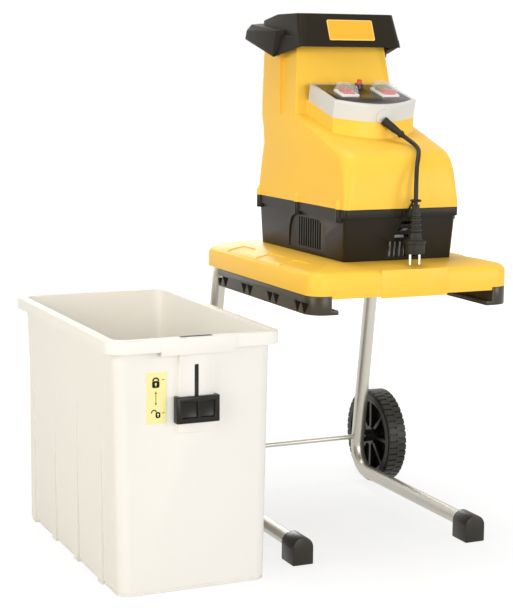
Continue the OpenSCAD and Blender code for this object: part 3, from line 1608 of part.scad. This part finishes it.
placed() ball_bearings();
placed() capacitor();
placed() collection_box();
placed() box_lock_slider();
placed() lock_label();
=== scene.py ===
"""Garden shredder with its collection box set down beside it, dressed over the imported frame."""
import math
import bmesh
import bpy
from mathutils import Matrix, Vector


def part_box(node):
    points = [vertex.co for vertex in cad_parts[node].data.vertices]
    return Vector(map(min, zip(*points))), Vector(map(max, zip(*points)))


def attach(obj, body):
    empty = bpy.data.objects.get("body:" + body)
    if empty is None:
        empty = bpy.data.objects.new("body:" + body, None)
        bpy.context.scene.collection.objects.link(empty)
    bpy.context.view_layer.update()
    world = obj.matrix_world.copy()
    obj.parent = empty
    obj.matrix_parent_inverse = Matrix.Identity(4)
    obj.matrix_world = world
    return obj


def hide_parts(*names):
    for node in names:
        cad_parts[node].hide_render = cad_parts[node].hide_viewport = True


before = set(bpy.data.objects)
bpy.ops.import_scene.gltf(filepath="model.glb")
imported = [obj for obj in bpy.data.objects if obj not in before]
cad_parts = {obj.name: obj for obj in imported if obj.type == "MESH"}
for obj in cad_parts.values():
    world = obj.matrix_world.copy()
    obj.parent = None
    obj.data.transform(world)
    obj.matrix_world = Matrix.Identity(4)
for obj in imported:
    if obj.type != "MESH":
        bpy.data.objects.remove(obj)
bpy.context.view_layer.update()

# The machine is described in millimetres from its own centre plane, the front of its feet and the
# floor. The axle gives the centre plane and a foot the front, and to_row carries a place to the frame.
axle_low, axle_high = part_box("wheel_axle")
row = Vector(((axle_low.x + axle_high.x) / 2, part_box("left_foot")[0].y, 0))
to_row = Matrix.Translation(row) @ Matrix.Scale(0.001, 4)

# Camera: a long lens at the height of the machine's top, left of its front and turned slightly down.
# The floor is a wide white sheet. A broad lamp stands at the front of a white room, with weaker ones all
# round and above.
eye = (-1378.1, -2459.8, 896.6)
azimuth, pitch, roll = (math.radians(a) for a in (-24.09, 8.73, 0.43))
focal_px, image_h, sensor, farthest = 1566.5, 610, 36, 100

camera = bpy.data.objects.new("camera", bpy.data.cameras.new("camera"))
bpy.context.scene.collection.objects.link(camera)
camera.data.sensor_fit = "VERTICAL"
camera.data.sensor_height = sensor
camera.data.lens = focal_px * sensor / image_h
camera.data.clip_end = farthest
camera.matrix_world = (Matrix.Translation(to_row @ Vector(eye)) @ Matrix.Rotation(azimuth, 4, "Z")
                       @ Matrix.Rotation(math.pi / 2 - pitch, 4, "X") @ Matrix.Rotation(roll, 4, "Z"))
bpy.context.scene.camera = camera
bpy.context.scene.view_settings.view_transform = "Standard"


class Value:
    """A socket that can be written in an expression; the expression adds the Math nodes."""

    def __init__(self, tree, socket):
        self.tree, self.socket = tree, socket

    def math(self, operation, *others):
        values = {i + 1: other for i, other in enumerate(others)}
        return self.tree.node("ShaderNodeMath", {"operation": operation}, {0: self, **values})

    def __add__(self, other):
        return self.math("ADD", other)

    def __sub__(self, other):
        return self.math("SUBTRACT", other)

    def __rsub__(self, other):
        return self.tree.node("ShaderNodeMath", {"operation": "SUBTRACT"}, {0: other, 1: self})

    def __mul__(self, other):
        return self.math("MULTIPLY", other)

    __radd__, __rmul__ = __add__, __mul__


class Tree:
    """Node tree of one material or of the world."""

    def __init__(self, owner):
        owner.use_nodes = True
        self.nodes, self.links = owner.node_tree.nodes, owner.node_tree.links
        self.nodes.clear()

    def node(self, kind, settings=None, sockets=None, out=0):
        made = self.nodes.new(kind)
        for key, value in (settings or {}).items():
            setattr(made, key, value)
        for key, value in (sockets or {}).items():
            if isinstance(value, Value):
                self.links.new(value.socket, made.inputs[key])
            else:
                made.inputs[key].default_value = value
        return Value(self, made.outputs[out]) if made.outputs else None


def linear(r, g, b):
    """Colour as seen on a screen, 0 to 255, as the shader's linear colour."""
    def one(c):
        c /= 255
        return c / 12.92 if c <= 0.04045 else ((c + 0.055) / 1.055) ** 2.4
    return (one(r), one(g), one(b), 1)


def looked_at(tree):
    """1 for a ray from the camera, or by way of gloss or glass, and 0 for a ray that gathers light."""
    kinds = [tree.node("ShaderNodeLightPath", out="Is " + kind + " Ray")
             for kind in ("Camera", "Glossy", "Transmission")]
    return (kinds[0] + kinds[1] + kinds[2]).math("MINIMUM", 1)


room = bpy.data.worlds.new("room")
bpy.context.scene.world = room
tree = Tree(room)
room_light = 0.2
glow = tree.node("ShaderNodeBackground", sockets={
    "Color": (1, 1, 1, 1), "Strength": looked_at(tree) * (1 - room_light) + room_light})
tree.node("ShaderNodeOutputWorld", sockets={"Surface": glow})

floor_half, paper_tone, paper_glow, shade_kept, shade_reach = 20, 0.55, 1.27, 0.42, 2
mesh = bmesh.new()
bmesh.ops.create_grid(mesh, x_segments=1, y_segments=1, size=floor_half)
data = bpy.data.meshes.new("floor")
mesh.to_mesh(data)
mesh.free()
floor = bpy.data.objects.new("floor", data)
bpy.context.scene.collection.objects.link(floor)
sheet = bpy.data.materials.new("floor_sheet")
tree = Tree(sheet)
paper = tree.node("ShaderNodeBsdfDiffuse", sockets={"Color": (paper_tone, paper_tone, paper_tone, 1)})
backlit = tree.node("ShaderNodeEmission", sockets={"Color": (1, 1, 1, 1), "Strength": paper_glow})
place = tree.node("ShaderNodeTexCoord", out="Object")
place = tree.node("ShaderNodeMapping", sockets={"Vector": place, "Scale": (1 / shade_reach,) * 3})
near = tree.node("ShaderNodeTexGradient", {"gradient_type": "SPHERICAL"}, {"Vector": place}, out=1)
surface = tree.node("ShaderNodeMixShader", sockets={
    0: looked_at(tree) * (1 - near * shade_kept), 1: paper, 2: backlit})
tree.node("ShaderNodeOutputMaterial", sockets={"Surface": surface})
data.materials.append(sheet)

lamp_aim = to_row @ Vector((-80, 150, 500))
for name, place, size, power, colour in (
        ("front", (0, -5000, 850), 2.6, 142, (1, 1, 1)),
        ("left", (-4200, -900, 1500), 2.6, 114, (1, 0.95, 0.86)),
        ("right", (3400, -3400, 1200), 1.6, 72, (1, 1, 1)),
        ("back", (900, 4800, 1100), 2.6, 70, (1, 1, 1)),
        ("top", (-300, 500, 4500), 2, 78, (1, 0.98, 0.95))):
    lamp = bpy.data.objects.new(name, bpy.data.lights.new(name, "AREA"))
    bpy.context.scene.collection.objects.link(lamp)
    lamp.data.size, lamp.data.energy, lamp.data.color = size, power, colour
    place = to_row @ Vector(place)
    turn = (lamp_aim - place).to_track_quat("-Z", "Y")
    lamp.matrix_world = Matrix.Translation(place) @ turn.to_matrix().to_4x4()


# Cord: a short black mains lead of 8 mm, moulded into a tapered sleeve where it leaves the bezel and
# into a two-pin plug at the other end. It bends over the belly and hangs through a ring on the housing.
def moulded(name, colour, roughness, grain=0.12, drift=0.05, gloss=0.5, alpha=1.0):
    """Moulded plastic or rubber: fine surface grain, and a slow drift of tone and gloss."""
    drifts_per_m, grains_per_m, grain_depth, slow_gloss, fine_gloss = 7, 1000 / 0.9, 0.0004, 0.12, 0.1
    material = bpy.data.materials.new(name)
    tree = Tree(material)
    place = tree.node("ShaderNodeTexCoord", out="Object")
    slow = tree.node("ShaderNodeTexNoise", sockets={"Vector": place, "Scale": drifts_per_m, "Detail": 3})
    fine = tree.node("ShaderNodeTexNoise", sockets={"Vector": place, "Scale": grains_per_m, "Detail": 2})
    dark = tuple(c * (1 - drift) for c in colour[:3]) + (1,)
    light = tuple(min(c * (1 + drift), 1) for c in colour[:3]) + (1,)
    tone = tree.node("ShaderNodeMix", {"data_type": "RGBA"}, {0: slow, 6: dark, 7: light}, out=2)
    bump = tree.node("ShaderNodeBump", sockets={"Strength": grain, "Distance": grain_depth, "Height": fine})
    shine = roughness + (slow - 0.5) * slow_gloss + (fine - 0.5) * fine_gloss
    shader = tree.node("ShaderNodeBsdfPrincipled", sockets={
        "Base Color": tone, "Roughness": shine, "Normal": bump, "Specular IOR Level": gloss, "Alpha": alpha})
    tree.node("ShaderNodeOutputMaterial", sockets={"Surface": shader})
    return material


def finished(name, mesh, body, finish, slot, *nodes, crease=35):
    """Hands a bmesh in machine millimetres over as a piece that rides on a body and stands for nodes."""
    bmesh.ops.transform(mesh, matrix=to_row, verts=mesh.verts)
    for face in mesh.faces:
        face.smooth = True
    for edge in mesh.edges:
        edge.smooth = not edge.is_manifold or edge.calc_face_angle(0) < math.radians(crease)
    data = bpy.data.meshes.new(name)
    mesh.to_mesh(data)
    mesh.free()
    data.materials.append(finish)
    piece = bpy.data.objects.new(name, data)
    bpy.context.scene.collection.objects.link(piece)
    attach(piece, body)
    if nodes:
        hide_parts(*nodes)
    return piece


def spun(profile, origin, axis, steps=48):
    """Closed body of revolution: profile holds (distance along the axis, radius)."""
    mesh = bmesh.new()
    side = Vector(axis).orthogonal().normalized()
    points = [mesh.verts.new(Vector(origin) + Vector(axis).normalized() * along + side * radius)
              for along, radius in profile]
    edges = [mesh.edges.new(pair) for pair in zip(points, points[1:])]
    bmesh.ops.spin(mesh, geom=points + edges, cent=origin, axis=axis, dvec=(0, 0, 0), angle=2 * math.pi,
                   steps=steps, use_merge=True, use_duplicate=False)
    bmesh.ops.remove_doubles(mesh, verts=mesh.verts, dist=1e-4)
    bmesh.ops.recalc_face_normals(mesh, faces=mesh.faces)
    return mesh


rubber = moulded("cord_rubber", linear(38, 35, 28), 0.5, grain=0.2, drift=0.1, gloss=0.25)
sleeve_from, sleeve_to = Vector((2, 66, 797.4)), Vector((32.4, 46, 769.8))
plug_x, plug_y, plug_face, plug_top, plug_lead = 11, -42, 565, 653, 10
route = [Vector(p) for p in (
    sleeve_to, (38.9, 37, 762.9), (42.5, 21.6, 755.2), (39.1, 2.1, 747.4), (31.2, -12.2, 736.1),
    (22.9, -23.1, 722), (16.5, -32.7, 703.9), (12.5, -39.3, 684.3),
    (plug_x, plug_y, plug_top + plug_lead), (plug_x, plug_y, plug_top))]
cord_d, cord_steps = 8, 3


def along_route(points, steps):
    """Points of a smooth curve through the route."""
    line = []
    for i in range(len(points) - 1):
        a, b, c, d = (points[min(max(k, 0), len(points) - 1)] for k in (i - 1, i, i + 1, i + 2))
        for k in range(steps):
            t = k / steps
            line.append(0.5 * (2 * b + (c - a) * t + (2 * a - 5 * b + 4 * c - d) * t ** 2
                               + (3 * b - a - 3 * c + d) * t ** 3))
    return line + [points[-1]]


def tube(name, points, diameter, body, finish, slot, *nodes):
    """Round bar or cord along points in machine millimetres."""
    curve = bpy.data.curves.new(name, "CURVE")
    curve.dimensions = "3D"
    curve.bevel_depth = diameter / 2000
    curve.bevel_resolution = 6
    curve.use_fill_caps = True
    spline = curve.splines.new("POLY")
    spline.points.add(len(points) - 1)
    for point, place in zip(spline.points, points):
        point.co = (*(to_row @ place), 1)
    spline.use_smooth = True
    curve.materials.append(finish)
    piece = bpy.data.objects.new(name, curve)
    bpy.context.scene.collection.objects.link(piece)
    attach(piece, body)
    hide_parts(*nodes)
    return piece


line = along_route(route, cord_steps)
lead = tube("mains_lead", line, cord_d, "machine", rubber, "cord_rubber", "power_cord")

# The plug is moulded on the cord in one piece: a round pin body, a finger flange above it, and a neck with
# four ribs that let it bend with the cord.
ribs, rib_from, rib_step, neck_r, neck_taper = 4, 40, 9, 10, 0.7
neck = [(rib_from + rib_step * i + step, neck_r - neck_taper * i + swell)
        for i in range(ribs) for step, swell in ((0, -0.6), (1, 1.5), (5, 1.5), (6, -0.6))]
pin_body = [(0, 0), (0, 15), (0.8, 17.4), (3, 18), (17.5, 18)]
flange = [(18.5, 19.4), (19.5, 20), (22.5, 20), (23.5, 19.4), (26, 13.5), (29, 12), (38, 11)]
collar = [(83, 7), (87, 7), (88, 6), (88, 0)]
mesh = spun(pin_body + flange + neck + collar, (plug_x, plug_y, plug_face), (0, 0, 1))
plug = finished("mains_plug", mesh, "machine", rubber, "cord_rubber", "plug_body", crease=30)

length = sum((b - a).length for a, b in zip(line, line[1:])) / 1000
tuple(to_row @ line[0])

# The tapered sleeve is black rubber, clamped in the bezel, and keeps the lead from kinking: a plain cone
# with a bead where the lead comes out.
way = sleeve_to - sleeve_from
reach = way.length
cone = [(0, 0), (0, 8), (2, 8), (reach * 0.5, 7), (reach - 9, 5.6)]
bead = [(reach - 8, 6.8), (reach - 6, 7.2), (reach - 3.5, 6.8), (reach - 3, 5.4)]
mesh = spun(cone + bead + [(reach, 4.6), (reach, 0)], sleeve_from, way, steps=32)
finished("lead_sleeve", mesh, "machine", rubber, "cord_rubber", "strain_relief", crease=40)


def metal(name, colour, roughness, grain=0.05, metallic=1.0, stretch=(1, 1, 1)):
    """Metal with fine drawn or cast texture in its gloss."""
    grains_per_m, drifts_per_m, grain_depth, darkest, streak = 700, 9, 0.0003, 0.9, 0.08
    material = bpy.data.materials.new(name)
    tree = Tree(material)
    place = tree.node("ShaderNodeTexCoord", out="Object")
    place = tree.node("ShaderNodeMapping", sockets={"Vector": place, "Scale": stretch})
    fine = tree.node("ShaderNodeTexNoise", sockets={"Vector": place, "Scale": grains_per_m, "Detail": 3})
    slow = tree.node("ShaderNodeTexNoise", sockets={"Vector": place, "Scale": drifts_per_m, "Detail": 2})
    dark = tuple(c * darkest for c in colour[:3]) + (1,)
    tone = tree.node("ShaderNodeMix", {"data_type": "RGBA"}, {0: slow, 6: dark, 7: colour}, out=2)
    bump = tree.node("ShaderNodeBump", sockets={"Strength": grain, "Distance": grain_depth, "Height": fine})
    shine = roughness + (fine - 0.5) * streak + (slow - 0.5) * streak
    shader = tree.node("ShaderNodeBsdfPrincipled", sockets={
        "Base Color": tone, "Roughness": shine, "Normal": bump, "Metallic": metallic})
    tree.node("ShaderNodeOutputMaterial", sockets={"Surface": shader})
    return material


def dressed(finish, *nodes):
    """Gives CAD solids their finish where they keep their own shape."""
    for node in nodes:
        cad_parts[node].data.materials.clear()
        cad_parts[node].data.materials.append(finish)


dressed(metal("pin_nickel", linear(225, 221, 210), 0.2), "plug_pins")

# Stand: two legs of 28 mm steel tube in a silver coat, each bent to a C that is open at the front. Its upper
# run is bolted under the platform, and a black plastic boot closes the front end of its lower run.
leg_silver = metal("leg_silver", linear(206, 202, 190), 0.34, metallic=0.85)
black = moulded("black_grained", linear(34, 29, 19), 0.42, grain=0.22, drift=0.12, gloss=0.13)
boot_black = moulded("boot_black", linear(46, 43, 34), 0.34, grain=0.15, drift=0.12, gloss=0.27)
tube_d, bend_r, lean = 28, 50, math.radians(9.9)
run_x, foot_x, tip_y, run_y, bend_y, run_z, foot_z = 174, 181.5, 8, 150, 409, 515, 32
low_y = bend_y + (run_z - foot_z) * math.tan(lean)


def rounded_path(corners, radius, steps=12):
    """Polyline with its inner corners turned on a radius."""
    points = [corners[0]]
    for a, b, c in zip(corners, corners[1:], corners[2:]):
        back, on = (a - b).normalized(), (c - b).normalized()
        half = back.angle(on) / 2
        centre = b + (back + on).normalized() * radius / math.sin(half)
        first, last = ((b + way * radius / math.tan(half) - centre).normalized() for way in (back, on))
        points += [centre + radius * first.slerp(last, i / steps) for i in range(steps + 1)]
    return points + [corners[-1]]


merged_d, sharp_from = 0.01, 35


def eased(mesh, width, segments=2):
    """Rounds the sharp edges of a mesh, apart from those with too little room beside them."""
    tried, in_line, room = (0.2, 0.5, 0.8), 0.75, 2 * width

    def roomy(edge):
        foot, tip = (vert.co for vert in edge.verts)
        way = (tip - foot).normalized()
        for face in edge.link_faces:
            inward = face.normal.cross(way)
            inward *= 1 if next(l for l in face.loops if l.edge == edge).vert == edge.verts[0] else -1
            if not all(bmesh.geometry.intersect_face_point(face, foot.lerp(tip, t) + inward * room)
                       for t in tried):
                return False
        reaches = [(o.other_vert(v).co - v.co) for v in edge.verts for o in v.link_edges if o is not edge]
        return all(r.length > room or abs(way.dot(r.normalized())) > in_line for r in reaches)

    sharp = [e for e in mesh.edges if e.is_manifold and e.calc_face_angle(0) > math.radians(sharp_from)]
    bmesh.ops.bevel(mesh, geom=[e for e in sharp if roomy(e)], offset=width, offset_type="OFFSET",
                    affect="EDGES", segments=segments, profile=0.5, material=-1, clamp_overlap=False)
    bmesh.ops.remove_doubles(mesh, verts=mesh.verts, dist=merged_d)
    bmesh.ops.dissolve_degenerate(mesh, dist=merged_d, edges=mesh.edges)
    return mesh


def copied(node, flat=0.5):
    """Copy of a CAD solid in machine millimetres, with its flat faces joined."""
    mesh = bmesh.new()
    mesh.from_mesh(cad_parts[node].data)
    bmesh.ops.transform(mesh, matrix=to_row.inverted(), verts=mesh.verts)
    bmesh.ops.remove_doubles(mesh, verts=mesh.verts, dist=merged_d)
    bmesh.ops.dissolve_limit(mesh, angle_limit=math.radians(flat), verts=mesh.verts, edges=mesh.edges)
    return mesh


def softened(name, node, body, finish, slot, width, segments=2):
    """Copy of a CAD solid with its sharp edges rounded."""
    finished(name, eased(copied(node), width, segments), body, finish, slot, node)


for side, name in ((-1, "left"), (1, "right")):
    corners = [Vector(p) for p in ((side * run_x, run_y, run_z), (side * run_x, bend_y, run_z),
                                   (side * foot_x, low_y, foot_z), (side * foot_x, tip_y, foot_z))]
    bent = rounded_path(corners, bend_r)
    tube(name + "_tube", bent, tube_d, "machine", leg_silver, "leg_steel", name + "_leg")
    softened(name + "_boot", name + "_foot", "machine", boot_black, "black_plastic", 2)

# Wheels: black spoked hubs that turn on the plated axle, with rubber tyres in two rows of tread blocks.
# Push-on caps hold them at the ends of the axle.
tyre = moulded("tyre_rubber", linear(40, 37, 30), 0.42, grain=0.3, drift=0.15, gloss=0.3)
zinc = metal("zinc_steel", linear(196, 192, 182), 0.36)
dressed(tyre, "left_tyre", "right_tyre")
hub_black = moulded("hub_black", linear(30, 28, 24), 0.26, grain=0.08, drift=0.1, gloss=0.4)
dressed(hub_black, "left_wheel_hub", "right_wheel_hub")
dressed(zinc, "wheel_axle")
softened("axle_end_caps", "axle_caps", "machine", black, "black_plastic", 1.5)

# Platform: a hollow yellow plastic moulding with a shallow crown and an apron at its front. Black plastic
# rails screwed under its edges carry the rim of the box, and a safety switch sits behind the apron.
yellow = moulded("yellow_shell", linear(254, 202, 74), 0.38, grain=0.05, drift=0.03, gloss=0.18)
white = moulded("switch_white", linear(238, 238, 234), 0.35, grain=0.04, drift=0.02)
softened("deck", "platform", "machine", yellow, "yellow_plastic", 1.2)


def slab(mesh, outline, place, depth):
    """Adds a flat piece to a mesh: an outline in a plane, given thickness along the plane's own Z."""
    face = mesh.faces.new([mesh.verts.new(place @ Vector((x, y, 0))) for x, y in outline])
    made = bmesh.ops.extrude_face_region(mesh, geom=[face])["geom"]
    step = place.to_3x3() @ Vector((0, 0, depth))
    bmesh.ops.translate(mesh, verts=[v for v in made if isinstance(v, bmesh.types.BMVert)], vec=step)
    bmesh.ops.recalc_face_normals(mesh, faces=mesh.faces)
    return mesh


def upright(y):
    """Plane that faces the front at a depth Y: its own X and Y lie along the machine's X and Z."""
    return Matrix.Translation((0, y, 0)) @ Matrix.Rotation(math.pi / 2, 4, "X")


def oblong(x0, y0, x1, y1):
    """Outline of a rectangle between two corners."""
    return [(x0, y0), (x1, y0), (x1, y1), (x0, y1)]


panel_hw, apron_y, apron_z0, apron_z1, panel_sunk, panel_proud = 67, -64, 491.6, 541, 1, 0.7
outline = oblong(-panel_hw, apron_z0, panel_hw, apron_z1)
mesh = slab(bmesh.new(), outline, upright(apron_y + panel_sunk), panel_sunk + panel_proud)
finished("apron_panel", eased(mesh, 0.3), "machine", yellow, "yellow_plastic")
# The rails are black plastic. Their colour is lifted to an olive grey as painted sheen, which stands in for
# the lit floor and box rim reflected in their sides.
rail_black_painted_sheen = moulded("rail_black_painted_sheen", linear(58, 52, 38), 0.32, grain=0.1, drift=0.1, gloss=0.3)
for name in ("left_rail", "right_rail"):
    softened(name + "_moulding", name, "machine", rail_black_painted_sheen, "black_plastic", 1)
dressed(zinc, "rail_screws", "leg_bolts")
dressed(black, "interlock_switch")
dressed(white, "interlock_plunger")

# Lower housing: a black plastic tub fixed to the platform, with louvres in its sides, a grille at its front
# and a band round its top edge. A ring on a short arm at the front holds the plug.
tub_black = moulded("tub_black", linear(34, 29, 20), 0.36, grain=0.12, drift=0.1, gloss=0.17)
softened("tub", "lower_housing", "machine", tub_black, "black_plastic", 0.8)
softened("lead_ring", "cord_hook", "machine", tub_black, "black_plastic", 0.6)
dressed(zinc, "housing_screws", "base_bolts")

# Drive, hidden in the housing: a motor of iron and copper, two pairs of steel gears in an alloy case, and
# the crushing roller with its pressure plate. These pieces keep their CAD shapes.
iron = metal("core_iron", linear(96, 96, 100), 0.55, stretch=(1, 30, 1))
copper = metal("winding_copper", linear(196, 116, 62), 0.38, stretch=(1, 8, 1))
alloy = metal("cast_alloy", linear(176, 177, 178), 0.5, grain=0.3)
gear_steel = metal("gear_steel", linear(142, 142, 146), 0.35)
dressed(iron, "stator_core", "motor_rotor")
dressed(copper, "stator_windings")
dressed(alloy, "crusher_case", "pressure_plate", "gearbox_case", "gearbox_cover", "motor_front_shield",
        "capacitor")
dressed(gear_steel, "crushing_roller", "output_gear", "intermediate_gears", "motor_pinion")
dressed(zinc, "roller_shaft", "intermediate_shaft", "adjusting_screw", "ball_bearings")
dressed(black, "cooling_fan")

# Upper housing: one yellow plastic shell that rises from a bulging belly to the hopper column, screwed to
# the tub through six half-round bosses. A black cover closes its back, and a black knob on its right sets
# the pressure plate.
softened("shell", "upper_housing", "machine", yellow, "yellow_plastic", 2.5, segments=3)
softened("back_cover", "rear_cover", "machine", black, "black_plastic", 2)
softened("plate_knob", "adjusting_knob", "knob", black, "black_plastic", 1)
dressed(black, "feed_chute")

# Controls: a light grey plastic bezel with a black panel let into it, set at a slope on the housing. Two
# switches sit in white frames under clear covers, with a reset button in a black collar between them.
bezel_grey = moulded("bezel_grey", linear(214, 214, 210), 0.42, grain=0.05, drift=0.02)
panel_black = moulded("panel_black", linear(33, 30, 28), 0.3, grain=0.03, drift=0.08)
clear = moulded("clear_cover", linear(240, 243, 243), 0.1, grain=0.02, drift=0.0, alpha=0.12)
red = moulded("button_red", linear(214, 62, 48), 0.35, grain=0.04)
green = moulded("button_green", linear(92, 128, 86), 0.35, grain=0.04)
softened("bezel", "control_bezel", "machine", bezel_grey, "bezel_plastic", 3.6, segments=4)
softened("panel", "control_plate", "machine", panel_black, "plate_plastic", 0.4)
softened("switch_rims", "switch_frames", "machine", white, "white_plastic", 0.5)
dressed(clear, "switch_covers")
softened("rocker_cap", "direction_rocker", "rocker", red, "red_plastic", 0.6)
softened("start_cap", "on_button", "on_push", green, "green_plastic", 0.6)
softened("stop_cap", "off_button", "off_push", red, "red_plastic", 0.6)
softened("reset_cap", "reset_button", "reset_push", red, "red_plastic", 0.6)

# Hopper cap: a dark plastic hood pushed over the column, open in the middle for the branches, with a lug at
# each side to pull the machine by. A blank yellow plate is let into its front.
softened("hood", "hopper_cap", "machine", black, "black_plastic", 2)
badge_yellow = moulded("badge_yellow", linear(247, 178, 46), 0.35, grain=0.03, drift=0.02)
badge_edge = moulded("badge_edge", linear(254, 222, 130), 0.35, grain=0.03, drift=0.02)
dressed(badge_yellow, "badge_plate")
border_w, border_t = 1.3, 0.4


def framed(mesh, width, lift):
    """Turns the one face of a mesh into a flat border, and gives it thickness."""
    mesh.normal_update()
    bmesh.ops.inset_region(mesh, faces=mesh.faces[:], thickness=width, use_even_offset=True,
                           use_boundary=True)
    middle = max(mesh.faces, key=lambda f: f.calc_area())
    bmesh.ops.delete(mesh, geom=[middle], context="FACES_ONLY")
    made = bmesh.ops.extrude_face_region(mesh, geom=mesh.faces[:])["geom"]
    bmesh.ops.translate(mesh, verts=[v for v in made if isinstance(v, bmesh.types.BMVert)], vec=lift)
    bmesh.ops.recalc_face_normals(mesh, faces=mesh.faces)
    return mesh


mesh = copied("badge_plate", flat=1)
front = min(mesh.faces, key=lambda f: f.normal.y)
lift = front.normal * border_t
bmesh.ops.delete(mesh, geom=[f for f in mesh.faces if f is not front], context="FACES")
finished("plate_border", framed(mesh, border_w, lift), "machine", badge_edge, "yellow_plastic")

# Collection box: a cream plastic moulding that stands on the floor by itself. A black slider runs in a guide
# on its front and pushes a tongue up through the rim; a yellow label beside it shows which way locks.
cream = moulded("box_cream", linear(240, 237, 230), 0.45, grain=0.04, drift=0.02, gloss=0.2)
slider_black = moulded("slider_black", linear(27, 24, 18), 0.3, grain=0.05, drift=0.1, gloss=0.22)
label_yellow = moulded("label_yellow", linear(240, 232, 158), 0.45, grain=0.02, drift=0.02)
bin_low, bin_high = (to_row.inverted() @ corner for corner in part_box("collection_box"))
bin_middle, bin_size = (bin_low + bin_high) / 2, bin_high - bin_low
to_middle = Matrix.Translation((-bin_middle.x, -bin_middle.y, 0))
bottom_round = ((9, 0), (5, 0.8), (2.4, 2.6), (0, 6.5))
mesh = eased(copied("collection_box"), 1.5)
for height, inset in bottom_round:
    if height:
        bmesh.ops.bisect_plane(mesh, geom=mesh.verts[:] + mesh.edges[:] + mesh.faces[:], dist=1e-4,
                               plane_co=(0, 0, height), plane_no=(0, 0, 1))
    shrink = Vector((1 - 2 * inset / bin_size.x, 1 - 2 * inset / bin_size.y, 1))
    level = [v for v in mesh.verts if abs(v.co.z - height) < merged_d]
    bmesh.ops.scale(mesh, vec=shrink, verts=level, space=to_middle)
finished("bin", mesh, "box", cream, "box_plastic", "collection_box")
softened("lock_slider", "box_lock_slider", "box_lock", slider_black, "black_plastic", 1.5, segments=3)
dressed(label_yellow, "lock_label")

# Signs on the label: thin black shapes, printed on the real one. A shut padlock stands above an open one,
# with a double arrow between them and a tick beside each.
ink = moulded("label_ink", linear(36, 31, 12), 0.5, grain=0.02, gloss=0.1)
label_low, label_high = (to_row.inverted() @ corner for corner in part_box("lock_label"))
on_label = upright(label_low.y) @ Matrix.Translation((label_low.x, label_high.z, 0))
mark_x, mark_t, lock_round, head_w, tick_x0, tick_x1 = 17, 0.25, 3.2, 1.7, 28.5, 32.5


def arc(x, y, radius, first, last, steps=10):
    """Points on a circle between two angles in degrees."""
    turns = [math.radians(first + (last - first) * i / steps) for i in range(steps + 1)]
    return [(x + radius * math.cos(t), y + radius * math.sin(t)) for t in turns]


def rounded_oblong(x0, y0, x1, y1, r):
    """Outline of a rectangle with round corners."""
    return (arc(x1 - r, y0 + r, r, -90, 0, 4) + arc(x1 - r, y1 - r, r, 0, 90, 4)
            + arc(x0 + r, y1 - r, r, 90, 180, 4) + arc(x0 + r, y0 + r, r, 180, 270, 4))


def bow(x, y, outer, inner, first, last):
    """Outline of a padlock's bow: part of a ring between two angles in degrees."""
    return arc(x, y, outer, first, last) + arc(x, y, inner, last, first)


shut_lock = [rounded_oblong(mark_x - 6.6, -26.5, mark_x + 6.6, -14.5, lock_round),
             bow(mark_x, -14.6, 6.4, 3.7, 0, 180)]
arrow = [oblong(mark_x - 0.45, -53, mark_x + 0.45, -36),
         [(mark_x, -32.5), (mark_x - head_w, -36.6), (mark_x + head_w, -36.6)],
         [(mark_x, -56.5), (mark_x + head_w, -52.4), (mark_x - head_w, -52.4)]]
open_lock = [rounded_oblong(mark_x - 0.5, -78.5, mark_x + 8, -68, lock_round),
             bow(mark_x - 3.4, -68.6, 5.2, 3.3, 10, 190)]
ticks = [oblong(tick_x0, -13.4, tick_x1, -12.4), oblong(tick_x0, -70.5, tick_x1, -69.5)]
marks = bmesh.new()
for outline in shut_lock + arrow + open_lock + ticks:
    slab(marks, outline, on_label, mark_t)
finished("lock_marks", marks, "box", ink, "label_film")
holes = bmesh.new()
for x, y in ((mark_x, -20.5), (mark_x + 3.75, -73)):
    slab(holes, arc(x, y + 0.8, 1.7, -60, 240), on_label, 2 * mark_t)
    slab(holes, oblong(x - 0.8, y - 2.8, x + 0.8, y - 0.7), on_label, 2 * mark_t)
finished("mark_keyholes", holes, "box", label_yellow, "label_film")

# Frame of the tongue's slot: a thin black plastic plate let into the top of the box's rim, which guides the
# tongue where it comes through.
mouth_x, mouth_y, frame_z = bin_middle.x, -45.5, bin_high.z - 0.3
frame_hw, frame_hd, frame_w, frame_t = 29, 5, 2.8, 0.8
mesh = bmesh.new()
mesh.faces.new([mesh.verts.new((mouth_x + x, mouth_y + y, frame_z))
                for x, y in oblong(-frame_hw, -frame_hd, frame_hw, frame_hd)])
finished("slot_frame", framed(mesh, frame_w, (0, 0, frame_t)), "box", black, "black_plastic")
